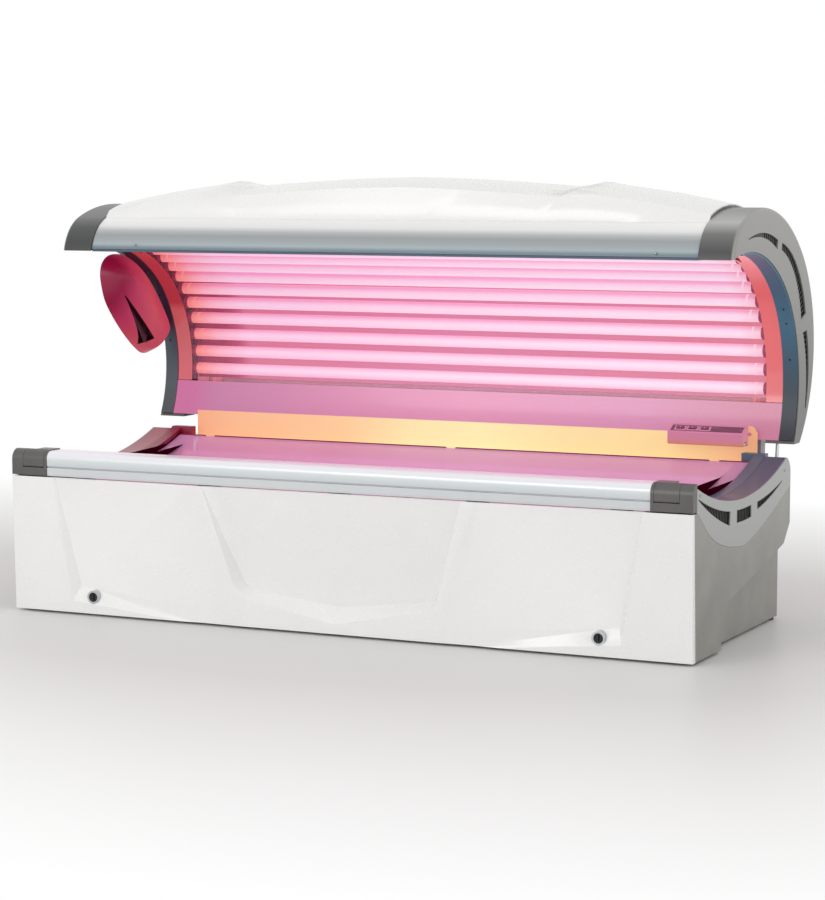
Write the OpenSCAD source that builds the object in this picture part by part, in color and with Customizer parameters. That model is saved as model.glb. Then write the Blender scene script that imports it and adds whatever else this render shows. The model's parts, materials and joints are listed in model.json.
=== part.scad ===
// Red light therapy bed: a lamp bench in a moulded base, and a lamp canopy that lifts on a rear hinge.
// Millimetres. X runs along the bed, Y from the front panel to the rear, Z up from the floor.
// Inside the modules Y is measured from the front of the base.
// seat() then moves each piece so that the origin is in the middle of the depth.

/* [Base] */
// Length over the end panels
bed_length = 2260; // [2000:10:2400]
// Depth from the front rail to the rear panel
base_depth = 898; // [880:2:930]
// Height of the front rail above the floor
base_height = 515; // [495:5:560]
// Wall of the moulded panels
panel_wall = 5; // [4:0.5:6]
// Clearance under the panels
floor_gap = 8; // [6:1:14]
// Set-back of the front panel at its foot
front_lean = 12; // [6:1:20]
// Length of the grey corner caps
cap_length = 127; // [110:1:150]
// Height of the front rail
rail_height = 54; // [50:1:58]
// Depth of the front rail
rail_depth = 76; // [66:1:80]
// Height of the flat strip under the rail
strip_height = 27; // [22:1:30]

/* [Front panel] */
// Half width of the shield recess at its top
shield_top = 446; // [380:2:480]
// Half width of the shield recess at its foot
shield_foot = 330; // [280:2:350]
// Depth of the shield recess at its foot
shield_depth = 52; // [35:1:56]
// Bore of the two panel locks
lock_bore_d = 30; // [24:1:32]
// Height of the locks above the floor
lock_z = 60; // [54:1:66]
// Distance of the locks from the middle
lock_x = 845; // [820:1:855]

/* [Bench] */
// Radius of the dished lying surface
dish_r = 1153; // [1100:5:1250]
// Drop of the dish below the top of the rail
dish_drop = 86; // [80:1:92]
// Thickness of the clear lying sheet
bench_sheet = 4; // [3:0.5:5]
// Number of bench lamps
bench_lamp_count = 14; // [10:1:14]
// Spacing of the bench lamps
bench_lamp_pitch = 50; // [46:1:52]
// Width of the grey end cheek on top
cheek_width = 70; // [60:1:76]
// Width of the dark end trim
trim_width = 38; // [30:1:40]

/* [Lamps] */
// Diameter of a lamp tube
lamp_d = 38; // [32:1:40]
// Wall of the lamp glass
lamp_glass = 1; // [0.8:0.1:1.5]
// Number of canopy lamps
canopy_lamp_count = 14; // [10:1:14]
// Spacing of the canopy lamps
canopy_lamp_pitch = 60; // [54:1:62]

/* [Canopy] */
// How far the canopy stands out past each end of the base
canopy_overhang = 5; // [0:1:20]
// Radius of the rear of the canopy
rear_arc_r = 395; // [385:1:405]
// How much larger the crown's radius is than the rear's, in steps of 73 mm
crown_steps = 2.4; // [2.3:0.1:2.5]
// How much smaller the front nose's radius is than the crown's, in steps of 265 mm
nose_steps = 1.6; // [1.58:0.02:1.62]
// Radius of the lower half of the mouth
mouth_arc_r = 392; // [386:1:398]
// Radius of the upper half of the mouth
mouth_top_r = 571; // [560:1:580]
// Width of the end cheeks along the bed
end_cheek = 94; // [90:1:100]
// Wall of the canopy shells
shell_wall = 4; // [3:0.5:5]
// Height of the ridge at the middle of the crown
ridge_middle = 93; // [70:1:100]
// Rounding of the outer edge of the cheeks
cheek_round = 14; // [8:1:18]

/* [Hinge] */
// Distance of the hinge axis behind the base
hinge_back = 82; // [78:1:90]
// Height of the hinge axis above the rail
hinge_rise = 105; // [98:1:112]
// Diameter of the hinge pins
hinge_pin_d = 24; // [20:1:28]
// Set-back of the hinge arms from the ends of the base
arm_inset = 130; // [120:5:200]
// Running clearance of pins and shafts
running = 0.05; // [0.02:0.01:0.09]
// Angle that the struts turn by as the canopy closes
strut_lever = 60; // [50:1:64]

/* [Hidden] */
$fn = 96;
eps = 0.5;
fit = 0.3;

function polar(r, a) = [r * cos(a), r * sin(a)];
function arc_pts(c, r, a0, a1, n) = [for (i = [0:n]) c + polar(r, a0 + (a1 - a0) * i / n)];
function bezier(a, b, c, d, n) = [for (i = [0:n]) let (t = i / n, s = 1 - t)
    s * s * s * a + 3 * s * s * t * b + 3 * s * t * t * c + t * t * t * d];
function reverse(v) = [for (i = [len(v) - 1:-1:0]) v[i]];
function unit(v) = v / norm(v);
// A polygon with the corner at each point rounded to its own radius
function rounded(pts, radii, n) = [for (i = [0:len(pts) - 1])
    let (p = pts[i], u = unit(pts[(i + len(pts) - 1) % len(pts)] - p), w = unit(pts[(i + 1) % len(pts)] - p),
        half = acos(u * w) / 2, reach = radii[i] / tan(half), c = p + unit(u + w) * radii[i] / sin(half))
    each (radii[i] == 0 ? [p]
        : let (a = p + u * reach - c, b = p + w * reach - c)
            [for (k = [0:n]) c + radii[i] * unit(a * (n - k) + b * k)])];

x_end = bed_length / 2;
arm_x = x_end - arm_inset;
tray_x = x_end - 130;
// Half the span of the front brackets, the cradles and the knuckles of the lying sheet
span_x = x_end - 230;
x_rail = x_end - cap_length;
panel_gap = 4;
front_top = base_height - rail_height - strip_height - 3;
rail_z = base_height - rail_height;
dish_y = base_depth / 2 - 13;
dish_z = base_height - dish_drop + dish_r;
x_cheek = x_end - cheek_width;
x_trim = x_cheek - trim_width;
x_sheet = x_trim - 4;
x_well = x_sheet - 56;
frame_x = x_end - 50;
side_x = frame_x + 5;
tube = 40;
frame_front = 95;
frame_rear = base_depth - 4;
top_tube_z = 290;
beam_z = 355;
tray_z = 60;

canopy_end = x_end + canopy_overhang;
x_shell = canopy_end - end_cheek - 15;
x_strip = canopy_end - 105;
x_rim = canopy_end - 50;
hinge = [base_depth + hinge_back, base_height + hinge_rise];
rear_c = hinge + [-258.2, 217.5];
// The canopy's outer arcs meet along directions in whole numbers, so that they are exactly tangent
rear_turn = [48, 55];
nose_turn = [-96, 247];
rear_a = atan2(rear_turn[1], rear_turn[0]);
nose_a = atan2(nose_turn[1], nose_turn[0]);
crown_arc_r = rear_arc_r + norm(rear_turn) * crown_steps;
nose_arc_r = crown_arc_r - norm(nose_turn) * nose_steps;
crown_c = rear_c - rear_turn * crown_steps;
nose_c = crown_c + nose_turn * nose_steps;
mouth_c = hinge + [-418.1, 102.7];
mouth_turn = 55.4;
mouth_top_c = mouth_c + polar(mouth_arc_r - mouth_top_r, mouth_turn);
foot_z = hinge[1] - 76;
nose_z = nose_c[1] + 24;
overall_depth = rear_c[0] + rear_arc_r;

white = [0.93, 0.93, 0.93];
grey = [0.60, 0.60, 0.58];
slate = [0.27, 0.34, 0.41];
silver = [0.76, 0.78, 0.80];
steel = [0.55, 0.57, 0.60];
crimson = [0.75, 0.15, 0.28];
pink = [0.95, 0.70, 0.80];

module seat() translate([0, -overall_depth / 2, 0]) children();
// Stretches a Y-Z outline along the bed
module along(x0, x1) translate([x0, 0, 0]) rotate([90, 0, 90]) linear_extrude(x1 - x0) children();
module both() for (s = [0, 1]) mirror([s, 0, 0]) children();
module left_of() mirror([1, 0, 0]) children();
module box(lo, hi) translate(lo) cube(hi - lo);
// A bar or pin along X, and one along Y
module pin_x(x0, x1, y, z, d) translate([x0, y, z]) rotate([0, 90, 0]) cylinder(h = x1 - x0, d = d);
module pin_y(x, y0, y1, z, d) translate([x, y1, z]) rotate([90, 0, 0]) cylinder(h = y1 - y0, d = d);
// A flat link of one width along a line of points
module link(pts, w) {
    for (p = pts) translate(p) circle(d = w + 1);
    for (i = [0:len(pts) - 2]) let (d = pts[i + 1] - pts[i])
        translate(pts[i]) rotate(atan2(d[1], d[0])) translate([0, -w / 2]) square([norm(d), w]);
}
// A solid through matching rings of points; the first ring is flat, and so is the last if flat_end is true
module rings(r, flat_end = true) {
    n = len(r[0]);
    last = (len(r) - 1) * n;
    polyhedron([for (a = r) each a], concat(
        [[for (i = [n - 1:-1:0]) i]],
        [for (k = [0:len(r) - 2]) for (i = [0:n - 1]) each let (j = (i + 1) % n)
            [[k * n + i, k * n + j, (k + 1) * n + j], [k * n + i, (k + 1) * n + j, (k + 1) * n + i]]],
        flat_end ? [[for (i = [0:n - 1]) last + i]] : [for (i = [1:n - 2]) [last, last + i, last + i + 1]]));
}

// Outlines of the bench ends, in Y and Z
function dish_at(y, g) = dish_z - sqrt(pow(dish_r + g, 2) - pow(y - dish_y, 2));
function seam_pts(drop) = concat(
    bezier([base_depth, base_height - 96 - drop], [base_depth - 110, base_height - 138 - drop],
        [477, base_height - 246 - drop], [410, base_height - 225 - drop], 8),
    bezier([410, base_height - 225 - drop], [128, base_height - 204 - drop],
        [99, base_height - 113 - drop], [34, front_top - drop], 8));
// The band between two depths below the dish
module dish_band(g0, g1, y0, y1) intersection() {
    difference() {
        translate([dish_y, dish_z]) circle(r = dish_r + g1, $fn = 360);
        translate([dish_y, dish_z]) circle(r = dish_r + g0, $fn = 360);
    }
    translate([y0, 0]) square([y1 - y0, base_height + 40]);
}
module cheek_outline(inset) difference() {
    polygon(concat([for (p = seam_pts(-inset)) [min(p[0], base_depth - inset), p[1]]],
        [[34 + inset, base_height - 3 - inset]],
        arc_pts([base_depth - 52, base_height - 57], 52 - inset, 80, 0, 6)));
    translate([dish_y, dish_z]) circle(r = dish_r + inset, $fn = 360);
}

// Outlines of the canopy section, in Y and Z
module sector(c, r, a0, a1) translate(c) intersection() {
    circle(r = r, $fn = 180);
    polygon(concat([[0, 0]], arc_pts([0, 0], r * 1.2, a0, a1, 12)));
}
module canopy_outer(inset) polygon(concat(arc_pts(rear_c, rear_arc_r - inset, -75, rear_a - 2.5, 49),
    arc_pts(crown_c, crown_arc_r - inset, rear_a, nose_a, 26),
    arc_pts(nose_c, nose_arc_r - inset, nose_a + 3, 200, 26)));
// Points along the mouth's two arcs, which meet at mouth_turn, from one angle to another
function mouth_line(grow, a0, a1) = concat(
    arc_pts(mouth_c, mouth_arc_r + grow, a0, mouth_turn, ceil((mouth_turn - a0) / 2.5)),
    [for (i = [1:ceil((a1 - mouth_turn) / 2.5)]) mouth_top_c
        + polar(mouth_top_r + grow, mouth_turn + (a1 - mouth_turn) * i / ceil((a1 - mouth_turn) / 2.5))]);
module mouth(grow) polygon(concat(mouth_line(grow, -60, 115),
    [mouth_top_c + polar(300, 120), [330, foot_z - 200], [mouth_c[0] + 100, foot_z - 200]]));
module nose_cut(up) translate([0, nose_z - 400 + up]) square([mouth_top_c[0] - 60, 400]);
module foot_cut(up) translate([mouth_top_c[0] - 100, foot_z - 400 + up]) square([900, 400]);
module crescent(out_inset, mouth_grow, ends) difference() {
    canopy_outer(out_inset);
    mouth(mouth_grow);
    nose_cut(ends);
    foot_cut(ends);
}
// A strip that follows the mouth between two depths and two angles
module mouth_band(g0, g1, a0, a1)
    polygon(concat(mouth_line(g1, a0, a1), reverse(mouth_line(g0, a0, a1))));
// A tapering slot between two angles, its radii changing evenly from one end to the other
module swept_slot(c, a0, a1, in0, in1, out0, out1) polygon(concat(
    [for (i = [0:10]) c + polar(in0 + (in1 - in0) * i / 10, a0 + (a1 - a0) * i / 10)],
    [for (i = [10:-1:0]) c + polar(out0 + (out1 - out0) * i / 10, a0 + (a1 - a0) * i / 10)]));

// Steel under-frame
module hollow_tube(lo, hi, axis) difference() {
    box(lo, hi);
    box([for (i = [0:2]) lo[i] + (i == axis ? -1 : 2.5)], [for (i = [0:2]) hi[i] + (i == axis ? 1 : -2.5)]);
}
module base_frame() color(steel) seat() {
    for (y = [frame_front, frame_rear - tube]) {
        hollow_tube([-frame_x, y, 20], [frame_x, y + tube, tray_z], 0);
        hollow_tube([-frame_x, y, top_tube_z], [frame_x, y + tube, top_tube_z + tube], 0);
        for (x = [-frame_x, -350, 310, frame_x - tube])
            hollow_tube([x, y, tray_z], [x + tube, y + tube, top_tube_z], 2);
    }
    for (x = [-frame_x, -350, 310, frame_x - tube])
        hollow_tube([x, frame_front + tube, 20], [x + tube, frame_rear - tube, tray_z], 1);
    for (x = [-frame_x, frame_x - tube])
        hollow_tube([x, frame_rear - tube, top_tube_z + tube], [x + tube, frame_rear, beam_z], 2);
    hollow_tube([-frame_x, frame_rear - tube, beam_z], [frame_x, frame_rear, beam_z + 50], 0);
}
module levelling_feet() color("dimgray") seat()
    for (x = [-frame_x + tube / 2, -330, 330, frame_x - tube / 2], y = [frame_front, frame_rear - tube])
        translate([x, y + tube / 2, 0]) {
            cylinder(h = 6, d = 56);
            translate([0, 0, 6]) cylinder(h = 4, d1 = 56, d2 = 26);
            cylinder(h = 20, d = 12);
        }
module floor_tray() color(silver) seat() difference() {
    union() {
        box([-tray_x, frame_front + tube, tray_z], [tray_x, frame_rear - tube, tray_z + 2]);
        for (y = [frame_front + tube, frame_rear - tube - 2])
            box([-tray_x, y, tray_z], [tray_x, y + 2, tray_z + 20]);
    }
    for (x = [-800:200:800]) translate([x, base_depth / 2, tray_z - 1]) for (k = [-2:2])
        translate([0, k * 24, 0]) box([-40, -5, 0], [40, 5, 4]);
}
module ballasts() color(silver) seat()
    for (s = [-1, 1], x = [tray_x - 120, tray_x - 440], y = [230, 620]) translate([s * x, y, tray_z + 2]) {
        box([-90, -32, 3], [90, 32, 48]);
        box([-112, -32, 0], [112, 32, 3]);
    }
// Each bracket ends in a rolled knuckle, in which a rod on the front panel turns
panel_pin = [20, front_top - 2.5];
panel_rod_d = 4.4;
bracket_x = [for (k = [-2:2]) k * span_x / 2];
module front_brackets() color(steel) seat() for (x = bracket_x) {
    box([x - 20, frame_front - 8, top_tube_z], [x + 20, frame_front, rail_z - fit]);
    box([x - 20, 9, rail_z - 6], [x + 20, frame_front, rail_z - fit]);
    box([x - 20, 9, rail_z - 22], [x + 20, 13, rail_z - fit]);
    difference() {
        union() {
            pin_x(x - 20, x + 20, panel_pin[0], panel_pin[1], panel_rod_d + 2.2);
            box([x - 20, panel_pin[0] - 1.5, panel_pin[1] + 1], [x + 20, panel_pin[0] + 1.5, rail_z - 5]);
        }
        pin_x(x - 21, x + 21, panel_pin[0], panel_pin[1], panel_rod_d + 2 * running);
    }
}

// Moulded front panel: end posts, a field that sinks towards each post, and the shield recess
front_back = 85;
function front_y(z) = front_lean * (front_top - z) / front_top;
function crease_x(z) = x_end - 223 + 0.2 * z;
// A point carried on past the face, so that a pocket's slopes cut the face cleanly
function past(edge, floor_pt) = edge - (floor_pt - edge) * eps / (floor_pt[1] - edge[1]);
module front_pocket(edge, floor_pts) {
    lip = reverse([for (i = [0:len(edge) - 1]) past(edge[i], floor_pts[i])]);
    rings([[for (p = lip) [p[0], -20, p[2]]], lip, reverse(floor_pts)], false);
}
module field_pocket() {
    top = front_top + 12;
    sink = [9, 27, 4, 2];
    edge = [[crease_x(top), top], [crease_x(46), 46], [shield_foot + 6, -6], [shield_top + 26, top]];
    bed = [[crease_x(top) - 17, top], [crease_x(92) - 24, 92], [shield_foot + 44, 40],
        [shield_top + 30, top]];
    front_pocket([for (p = edge) [p[0], front_y(p[1]), p[1]]],
        [for (i = [0:3]) [bed[i][0], front_y(bed[i][1]) + sink[i], bed[i][1]]]);
}
module shield_pocket() {
    top = front_top + 12;
    edge = rounded([[shield_top + 3, top], [shield_foot, 103], [0, 38], [-shield_foot, 103],
        [-shield_top - 3, top]], [0, 70, 30, 70, 0], 5);
    bed = rounded([[shield_top - 27, top], [shield_foot - 6, 122], [0, 82], [-shield_foot + 6, 122],
        [-shield_top + 27, top]], [0, 52, 24, 52, 0], 5);
    function sunk(z) = 8 + (shield_depth - 8) * (top - z) / (top - 82);
    front_pocket([for (p = edge) [p[0], front_y(p[1]), p[1]]],
        [for (p = bed) [p[0], front_y(p[1]) + sunk(p[1]), p[1]]]);
}
module front_form(inset) difference() {
    along(-x_end + inset, x_end - inset)
        polygon([[0, front_top - inset], [front_y(floor_gap + inset), floor_gap + inset],
            [front_back + inset * 8, floor_gap + inset], [front_back + inset * 8, 200],
            [front_back - 30 + inset * 8, front_top - inset]]);
    both() field_pocket();
    shield_pocket();
}
module front_panel() color(white) seat() {
    front_skin();
    for (x = bracket_x) pin_x(x - 23, x + 23, panel_pin[0], panel_pin[1], panel_rod_d);
}
module front_skin() difference() {
    front_form(0);
    translate([0, panel_wall, 0]) front_form(panel_wall);
    // Notches round the knuckles of the brackets
    for (x = bracket_x) box([x - 22, panel_pin[0] - 3.7, panel_pin[1] - 6],
        [x + 22, panel_pin[0] + 5, front_top + 1]);
    both() along(x_cheek - fit, x_end + 1) polygon([[13.6, front_top + 1], [33.6, floor_gap], [33.6, -1],
        [front_back + 40, -1], [front_back + 40, front_top + 1]]);
    both() pin_y(lock_x, -5, front_back + 5, lock_z, lock_bore_d + 12 + 2 * fit);
}
lock_y = front_y(lock_z) + 12;
module lock_bezels() color(silver) seat() both() difference() {
    union() {
        pin_y(lock_x, lock_y - 9, lock_y + 30, lock_z, lock_bore_d + 12);
        pin_y(lock_x, lock_y + 26, lock_y + 30, lock_z, lock_bore_d + 30);
    }
    pin_y(lock_x, lock_y - 12, lock_y + 32, lock_z, lock_bore_d);
}
module lock(x) color([0.1, 0.1, 0.1]) seat() {
    difference() {
        pin_y(x, lock_y - 4, lock_y + 34, lock_z, lock_bore_d - 2 * running);
        box([x - 2, lock_y - 6, lock_z - 9], [x + 2, lock_y + 4, lock_z + 9]);
    }
    box([x - 7, lock_y + 34, lock_z - 10], [x + 7, lock_y + 38, lock_z + 34]);
}
module lock_left() lock(-lock_x);
module lock_right() lock(lock_x);

// Front rail, the strip under it and the corner caps
module rail_outline(inset, back) {
    r = 25;
    translate([2 + r, base_height - 3 - r]) circle(r = r - inset);
    translate([2 + inset, rail_z + 4 + inset]) square([r, base_height - rail_z - r - 7 - inset]);
    translate([2 + r, rail_z + inset]) square([back - 2 - r, base_height - 3 - rail_z - 2 * inset]);
    translate([6 + inset, rail_z + inset]) square([r, r]);
}
module front_rail() color(silver) seat() difference() {
    along(-x_rail + fit, x_rail - fit) rail_outline(0, rail_depth + 2);
    along(-x_end, x_end) rail_outline(2.5, rail_depth + 2 - 2.5);
}
module rail_strip() color(white) seat() difference() {
    box([-x_rail + fit, 3, front_top + panel_gap], [x_rail - fit, 9, rail_z - fit]);
    box([-x_end, 2, front_top + panel_gap + 3], [x_end, 3.8, front_top + panel_gap + 4.5]);
}
module cap_outline(inset, back) {
    r = 32;
    translate([r, base_height - r]) circle(r = r - inset);
    foot = front_top + panel_gap + inset;
    translate([inset, foot]) square([r, base_height - foot - r]);
    translate([r - 1, foot]) square([back - r + 1, base_height - foot - inset]);
}
// The latch turns on a pin in the rounded foot of its front wall
latch_pin = [4.5, rail_z + 4.5];
latch_pin_d = 4;
latch_half = 38;
latch_x = x_end - 79;
module base_cap() color(grey) seat() difference() {
    union() {
        cap_shell();
        for (x = ear_x) box([x, 3, latch_pin[1] - 8], [x + 6, 18, latch_pin[1] + 8]);
    }
    for (x = ear_x) pin_x(x - 1, x + 7, latch_pin[0], latch_pin[1], latch_pin_d + 2 * running);
}
ear_x = [latch_x - latch_half - 7, latch_x + latch_half + 1];
module cap_shell() difference() {
    along(x_rail, x_end) cap_outline(0, rail_depth + 4);
    along(x_rail + 4, x_end - 4) cap_outline(4, rail_depth + 20);
    along(latch_x - latch_half - 1, latch_x + latch_half + 1) translate([-2, rail_z - 1])
        square([35, base_height - rail_z + 12]);
    // The bench cheek starts behind the cap
    box([x_cheek - fit, 34 - fit, front_top - 5], [x_end + 1, rail_depth + 10, base_height + 5]);
}
module base_cap_left() left_of() base_cap();
module base_cap_right() base_cap();
module latch() color([0.45, 0.45, 0.44]) seat() {
    along(latch_x - latch_half, latch_x + latch_half) difference() {
        intersection() {
            cap_outline(0, rail_depth + 4);
            translate([-2, latch_pin[1]]) square([34, base_height - latch_pin[1] + 10]);
        }
        cap_outline(4, rail_depth + 20);
        // Finger slot in the top face
        translate([22, base_height - 1.5]) square([5, 10]);
    }
    along(latch_x - latch_half, latch_x + latch_half) translate(latch_pin) circle(r = latch_pin[0] - 0.2);
    pin_x(latch_x - latch_half - 6, latch_x + latch_half + 6, latch_pin[0], latch_pin[1], latch_pin_d);
}
module latch_left() left_of() latch();
module latch_right() latch();

// End panels of the base
module side_outline(inset) polygon(concat(
    [for (p = seam_pts(0.4 + inset)) [min(p[0], base_depth - inset), p[1]]],
    [[14 + inset, front_top - inset], [34 + inset, floor_gap + inset],
        [base_depth - inset, floor_gap + inset]]));
// The lower rear of the side panel steps in by its depth, along a crease that rises to the rear
recess_depth = 37;
recess_edge = [[base_depth + 40, 344], [841, 246], [584, 190], [355, 148], [292, 132], [272, 108],
    [258, 40], [252, -20], [base_depth + 40, -20]];
recess_floor = [[base_depth + 40, 262], [841, 222], [584, 172], [355, 133], [304, 118], [286, 98],
    [270, 40], [264, -20], [base_depth + 40, -20]];
module side_panel() color(grey) seat() difference() {
    along(side_x, x_end) side_outline(0);
    rings([[for (p = recess_edge) [x_end + 30, p[0], p[1]]], [for (p = recess_edge) [x_end, p[0], p[1]]],
        [for (p = recess_floor) [x_end - recess_depth, p[0], p[1]]]]);
    difference() {
        along(side_x - 4 * panel_wall, x_end - panel_wall) side_outline(panel_wall);
        along(x_end - recess_depth - panel_wall, x_end)
            polygon([for (p = recess_edge) p + [-panel_wall, panel_wall]]);
    }
}
module side_panel_left() left_of() side_panel();
module side_panel_right() side_panel();
function below_dish(y) = 270 + asin((y - dish_y) / dish_r);
module cheek_vents(grow) {
    c = [dish_y, dish_z];
    swept_slot(c, below_dish(54 - grow), below_dish(328 + grow), dish_r + 25 - grow, dish_r + 31 - grow,
        dish_r + 28 + grow, dish_r + 72 + grow);
    swept_slot(c, below_dish(386 - grow), below_dish(514 + grow), dish_r + 30 - grow, dish_r + 30 - grow,
        dish_r + 67 + grow, dish_r + 66 + grow);
    swept_slot(c, below_dish(568 - grow), below_dish(800 + grow), dish_r + 33 - grow, dish_r + 47 - grow,
        dish_r + 56 + grow, dish_r + 50 + grow);
}
module bench_cheek() color(grey) seat() difference() {
    along(x_cheek, x_end) cheek_outline(0);
    along(x_cheek - 1, x_end - panel_wall) cheek_outline(panel_wall);
    along(x_end - 10, x_end + 5) cheek_vents(0);
    // Room for the hinge beam behind
    box([0, frame_rear - tube - 5, 0], [x_end - panel_wall - 1, frame_rear + 1, beam_z + 58]);
}
module bench_cheek_left() left_of() bench_cheek();
module bench_cheek_right() bench_cheek();
module cheek_grilles() color([0.2, 0.2, 0.2]) seat() both() difference() {
    along(x_end - panel_wall - 3, x_end - panel_wall - fit) intersection() {
        cheek_vents(5);
        cheek_outline(panel_wall + 1);
    }
    along(x_end - panel_wall - 4, x_end) intersection() {
        cheek_vents(-1);
        for (y = [62:15:800]) translate([y, dish_at(y, 110)]) rotate(below_dish(y) - 270) square([9, 100]);
    }
}
module bench_trims() color(slate) seat() both() {
    along(x_trim, x_cheek - fit) dish_band(-1, 12, rail_depth + 8, base_depth - 35);
    box([x_trim - 40, base_depth - 36, dish_at(base_depth - 60, 0) - 32],
        [x_cheek - fit, base_depth - 6, dish_at(base_depth - 60, 0) + 14]);
}
module bench_end_strips() color(crimson) seat() both()
    along(x_well, x_sheet) dish_band(20, 22, rail_depth + 28, base_depth - 56);

// Bench light unit
module bench_sheet_clear() color(pink, 0.4) seat()
    along(-x_sheet, x_sheet) dish_band(14, 14 + bench_sheet, rail_depth + 8, base_depth - 54);
sheet_pin = [base_depth - 46, dish_at(base_depth - 54, 16)];
module bench_sheet_hinge() color(silver) seat() {
    for (x = [[-x_sheet, -span_x - 20], [20 - span_x, -20], [20, span_x - 20], [span_x + 20, x_sheet]])
        along(x[0], x[1]) {
        translate(sheet_pin) circle(d = 8);
        translate(sheet_pin + [-7.7, -5]) square([6, 10]);
    }
    pin_x(-x_sheet, x_sheet, sheet_pin[0], sheet_pin[1], 8);
}
bench_lamp_g = 14 + bench_sheet + 8 + lamp_d / 2;
function bench_lamp_a(i) = 270
    + (i - (bench_lamp_count - 1) / 2) * bench_lamp_pitch / (dish_r + bench_lamp_g) * 180 / PI;
function bench_lamp_at(i) = [dish_y, dish_z] + polar(dish_r + bench_lamp_g, bench_lamp_a(i));
module lamp(x, p) {
    difference() {
        pin_x(-x + 14, x - 14, p[0], p[1], lamp_d);
        pin_x(-x + 13, x - 13, p[0], p[1], lamp_d - 2 * lamp_glass);
    }
    both() pin_x(x - 14, x - 0.3, p[0], p[1], lamp_d);
}
module holder(x, p, a) {
    translate([x, p[0], p[1]]) rotate([a, 0, 0]) {
        box([0, -lamp_d / 2, -10], [14, lamp_d / 2, lamp_d / 2 + 9.5]);
        rotate([0, 90, 0]) cylinder(h = 14, d = lamp_d);
    }
}
module bench_lamps() color(pink) seat()
    for (i = [0:bench_lamp_count - 1]) lamp(x_well - 12, bench_lamp_at(i));
module bench_lamp_holders() color("whitesmoke") seat() both() {
    for (i = [0:bench_lamp_count - 1]) holder(x_well - 12, bench_lamp_at(i), bench_lamp_a(i) - 90);
    along(x_well + 1, x_well + 5)
        dish_band(22.3, bench_lamp_g + lamp_d / 2 + 10, rail_depth + 28, base_depth - 56);
}
reflector_g = bench_lamp_g + lamp_d / 2 + 10.3;
module bench_reflector() color(silver) seat() along(-x_well - 5, x_well + 5)
    dish_band(reflector_g, reflector_g + 1.5, rail_depth + 28, base_depth - 56);
module bench_cradles() color(steel) seat()
for (k = [-3:2:3]) along(k * span_x / 3 - 2, k * span_x / 3 + 2) difference() {
    translate([frame_front, top_tube_z + tube]) square([base_depth - frame_front - 60, 110]);
    translate([dish_y, dish_z]) circle(r = dish_r + reflector_g + 1.8, $fn = 360);
    translate([frame_rear - tube - fit, beam_z - 60]) square([tube, 120]);
}

// Rear of the base
fan_z = 185;
fan_size = 190;
fan_x = 0;
gland_x = -420;
module rear_panel() color(grey) seat() difference() {
    box([-side_x + fit, frame_rear, floor_gap + 12], [side_x - fit, base_depth, beam_z - 1]);
    for (x = [-600, fan_x, 600], k = [-7:7]) box([x - 80, frame_rear - 1, fan_z + k * 11 - 2.5],
        [x + 80, base_depth + 1, fan_z + k * 11 + 2.5]);
    pin_y(gland_x, frame_rear - 2, base_depth + 2, 120, 26);
}
bridge_top = base_height + 55;
module rear_bridge() color([0.95, 0.72, 0.5]) seat() difference() {
    union() {
        box([-x_end + 150, base_depth + 4, beam_z + 2], [x_end - 110, base_depth + 7, bridge_top]);
        box([-x_trim + 40 + fit, base_depth - 36, sheet_pin[1] - 3],
            [x_trim - 40 - fit, base_depth + 4.5, sheet_pin[1]]);
        box([x_end - 160, base_depth + 4, bridge_top - 10], [x_end - 110, base_depth + 7, bridge_top + 8]);
        pin_y(x_end - 135, base_depth + 4, base_depth + 7, bridge_top + 4, 44);
        // Knuckles that carry the hinge rod of the lying sheet
        for (x = [-span_x, 0, span_x]) {
            pin_x(x - 15, x + 15, sheet_pin[0], sheet_pin[1], 15);
            box([x - 15, sheet_pin[0], sheet_pin[1] - 7.5], [x + 15, base_depth - 34, sheet_pin[1]]);
        }
    }
    for (x = [-span_x, 0, span_x]) pin_x(x - 16, x + 16, sheet_pin[0], sheet_pin[1], 8 + 2 * running);
    both() box([arm_x - 32, base_depth, beam_z], [arm_x + 32, base_depth + 10, beam_z + 75]);
    pin_y(x_end - 135, base_depth + 3, base_depth + 8, bridge_top, 12);
}
module mains_gland() color([0.12, 0.12, 0.12]) seat() difference() {
    union() {
        pin_y(gland_x, frame_rear - 14, base_depth + 20, 120, 25);
        translate([gland_x, base_depth + 8, 120]) rotate([90, 0, 0]) cylinder(h = 8, d = 36, $fn = 6);
        translate([gland_x, frame_rear, 120]) rotate([90, 0, 0]) cylinder(h = 6, d = 36, $fn = 6);
    }
    pin_y(gland_x, frame_rear - 16, base_depth + 22, 120, 18);
}
module fan_housing(x, y, z, size, depth) difference() {
    union() {
        difference() {
            box([x - size / 2, y, z - size / 2], [x + size / 2, y + depth, z + size / 2]);
            pin_y(x, y - 1, y + depth + 1, z, size - 14);
        }
        for (a = [0:120:240]) translate([x, y + 4, z]) rotate([0, a, 0])
            box([10, -2, -3], [size / 2 - 5, 2, 3]);
        pin_y(x, y + 1, y + 14, z, size * 0.3);
    }
    pin_y(x, y - 1, y + 15, z, 8 + 2 * running);
    for (a = [-1, 1], b = [-1, 1])
        pin_y(x + a * (size / 2 - 9), y - 1, y + depth + 1, z + b * (size / 2 - 9), 5);
}
module fan_rotor(x, y, z, size) {
    pin_y(x, y + 0.5, y + 16, z, 8);
    pin_y(x, y + 15, y + 34, z, size * 0.3);
    for (a = [0:360 / 7:359]) translate([x, y + 24, z]) rotate([0, a, 0]) rotate([32, 0, 0])
        box([size * 0.13, -1.2, -9], [size / 2 - 10, 1.2, 9]);
}
module base_fan() color("dimgray") seat() fan_housing(fan_x, frame_rear - 38 - fit, fan_z, fan_size, 38);
module base_fan_rotor() color("black") seat() fan_rotor(fan_x, frame_rear - 38 - fit, fan_z, fan_size);

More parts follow.
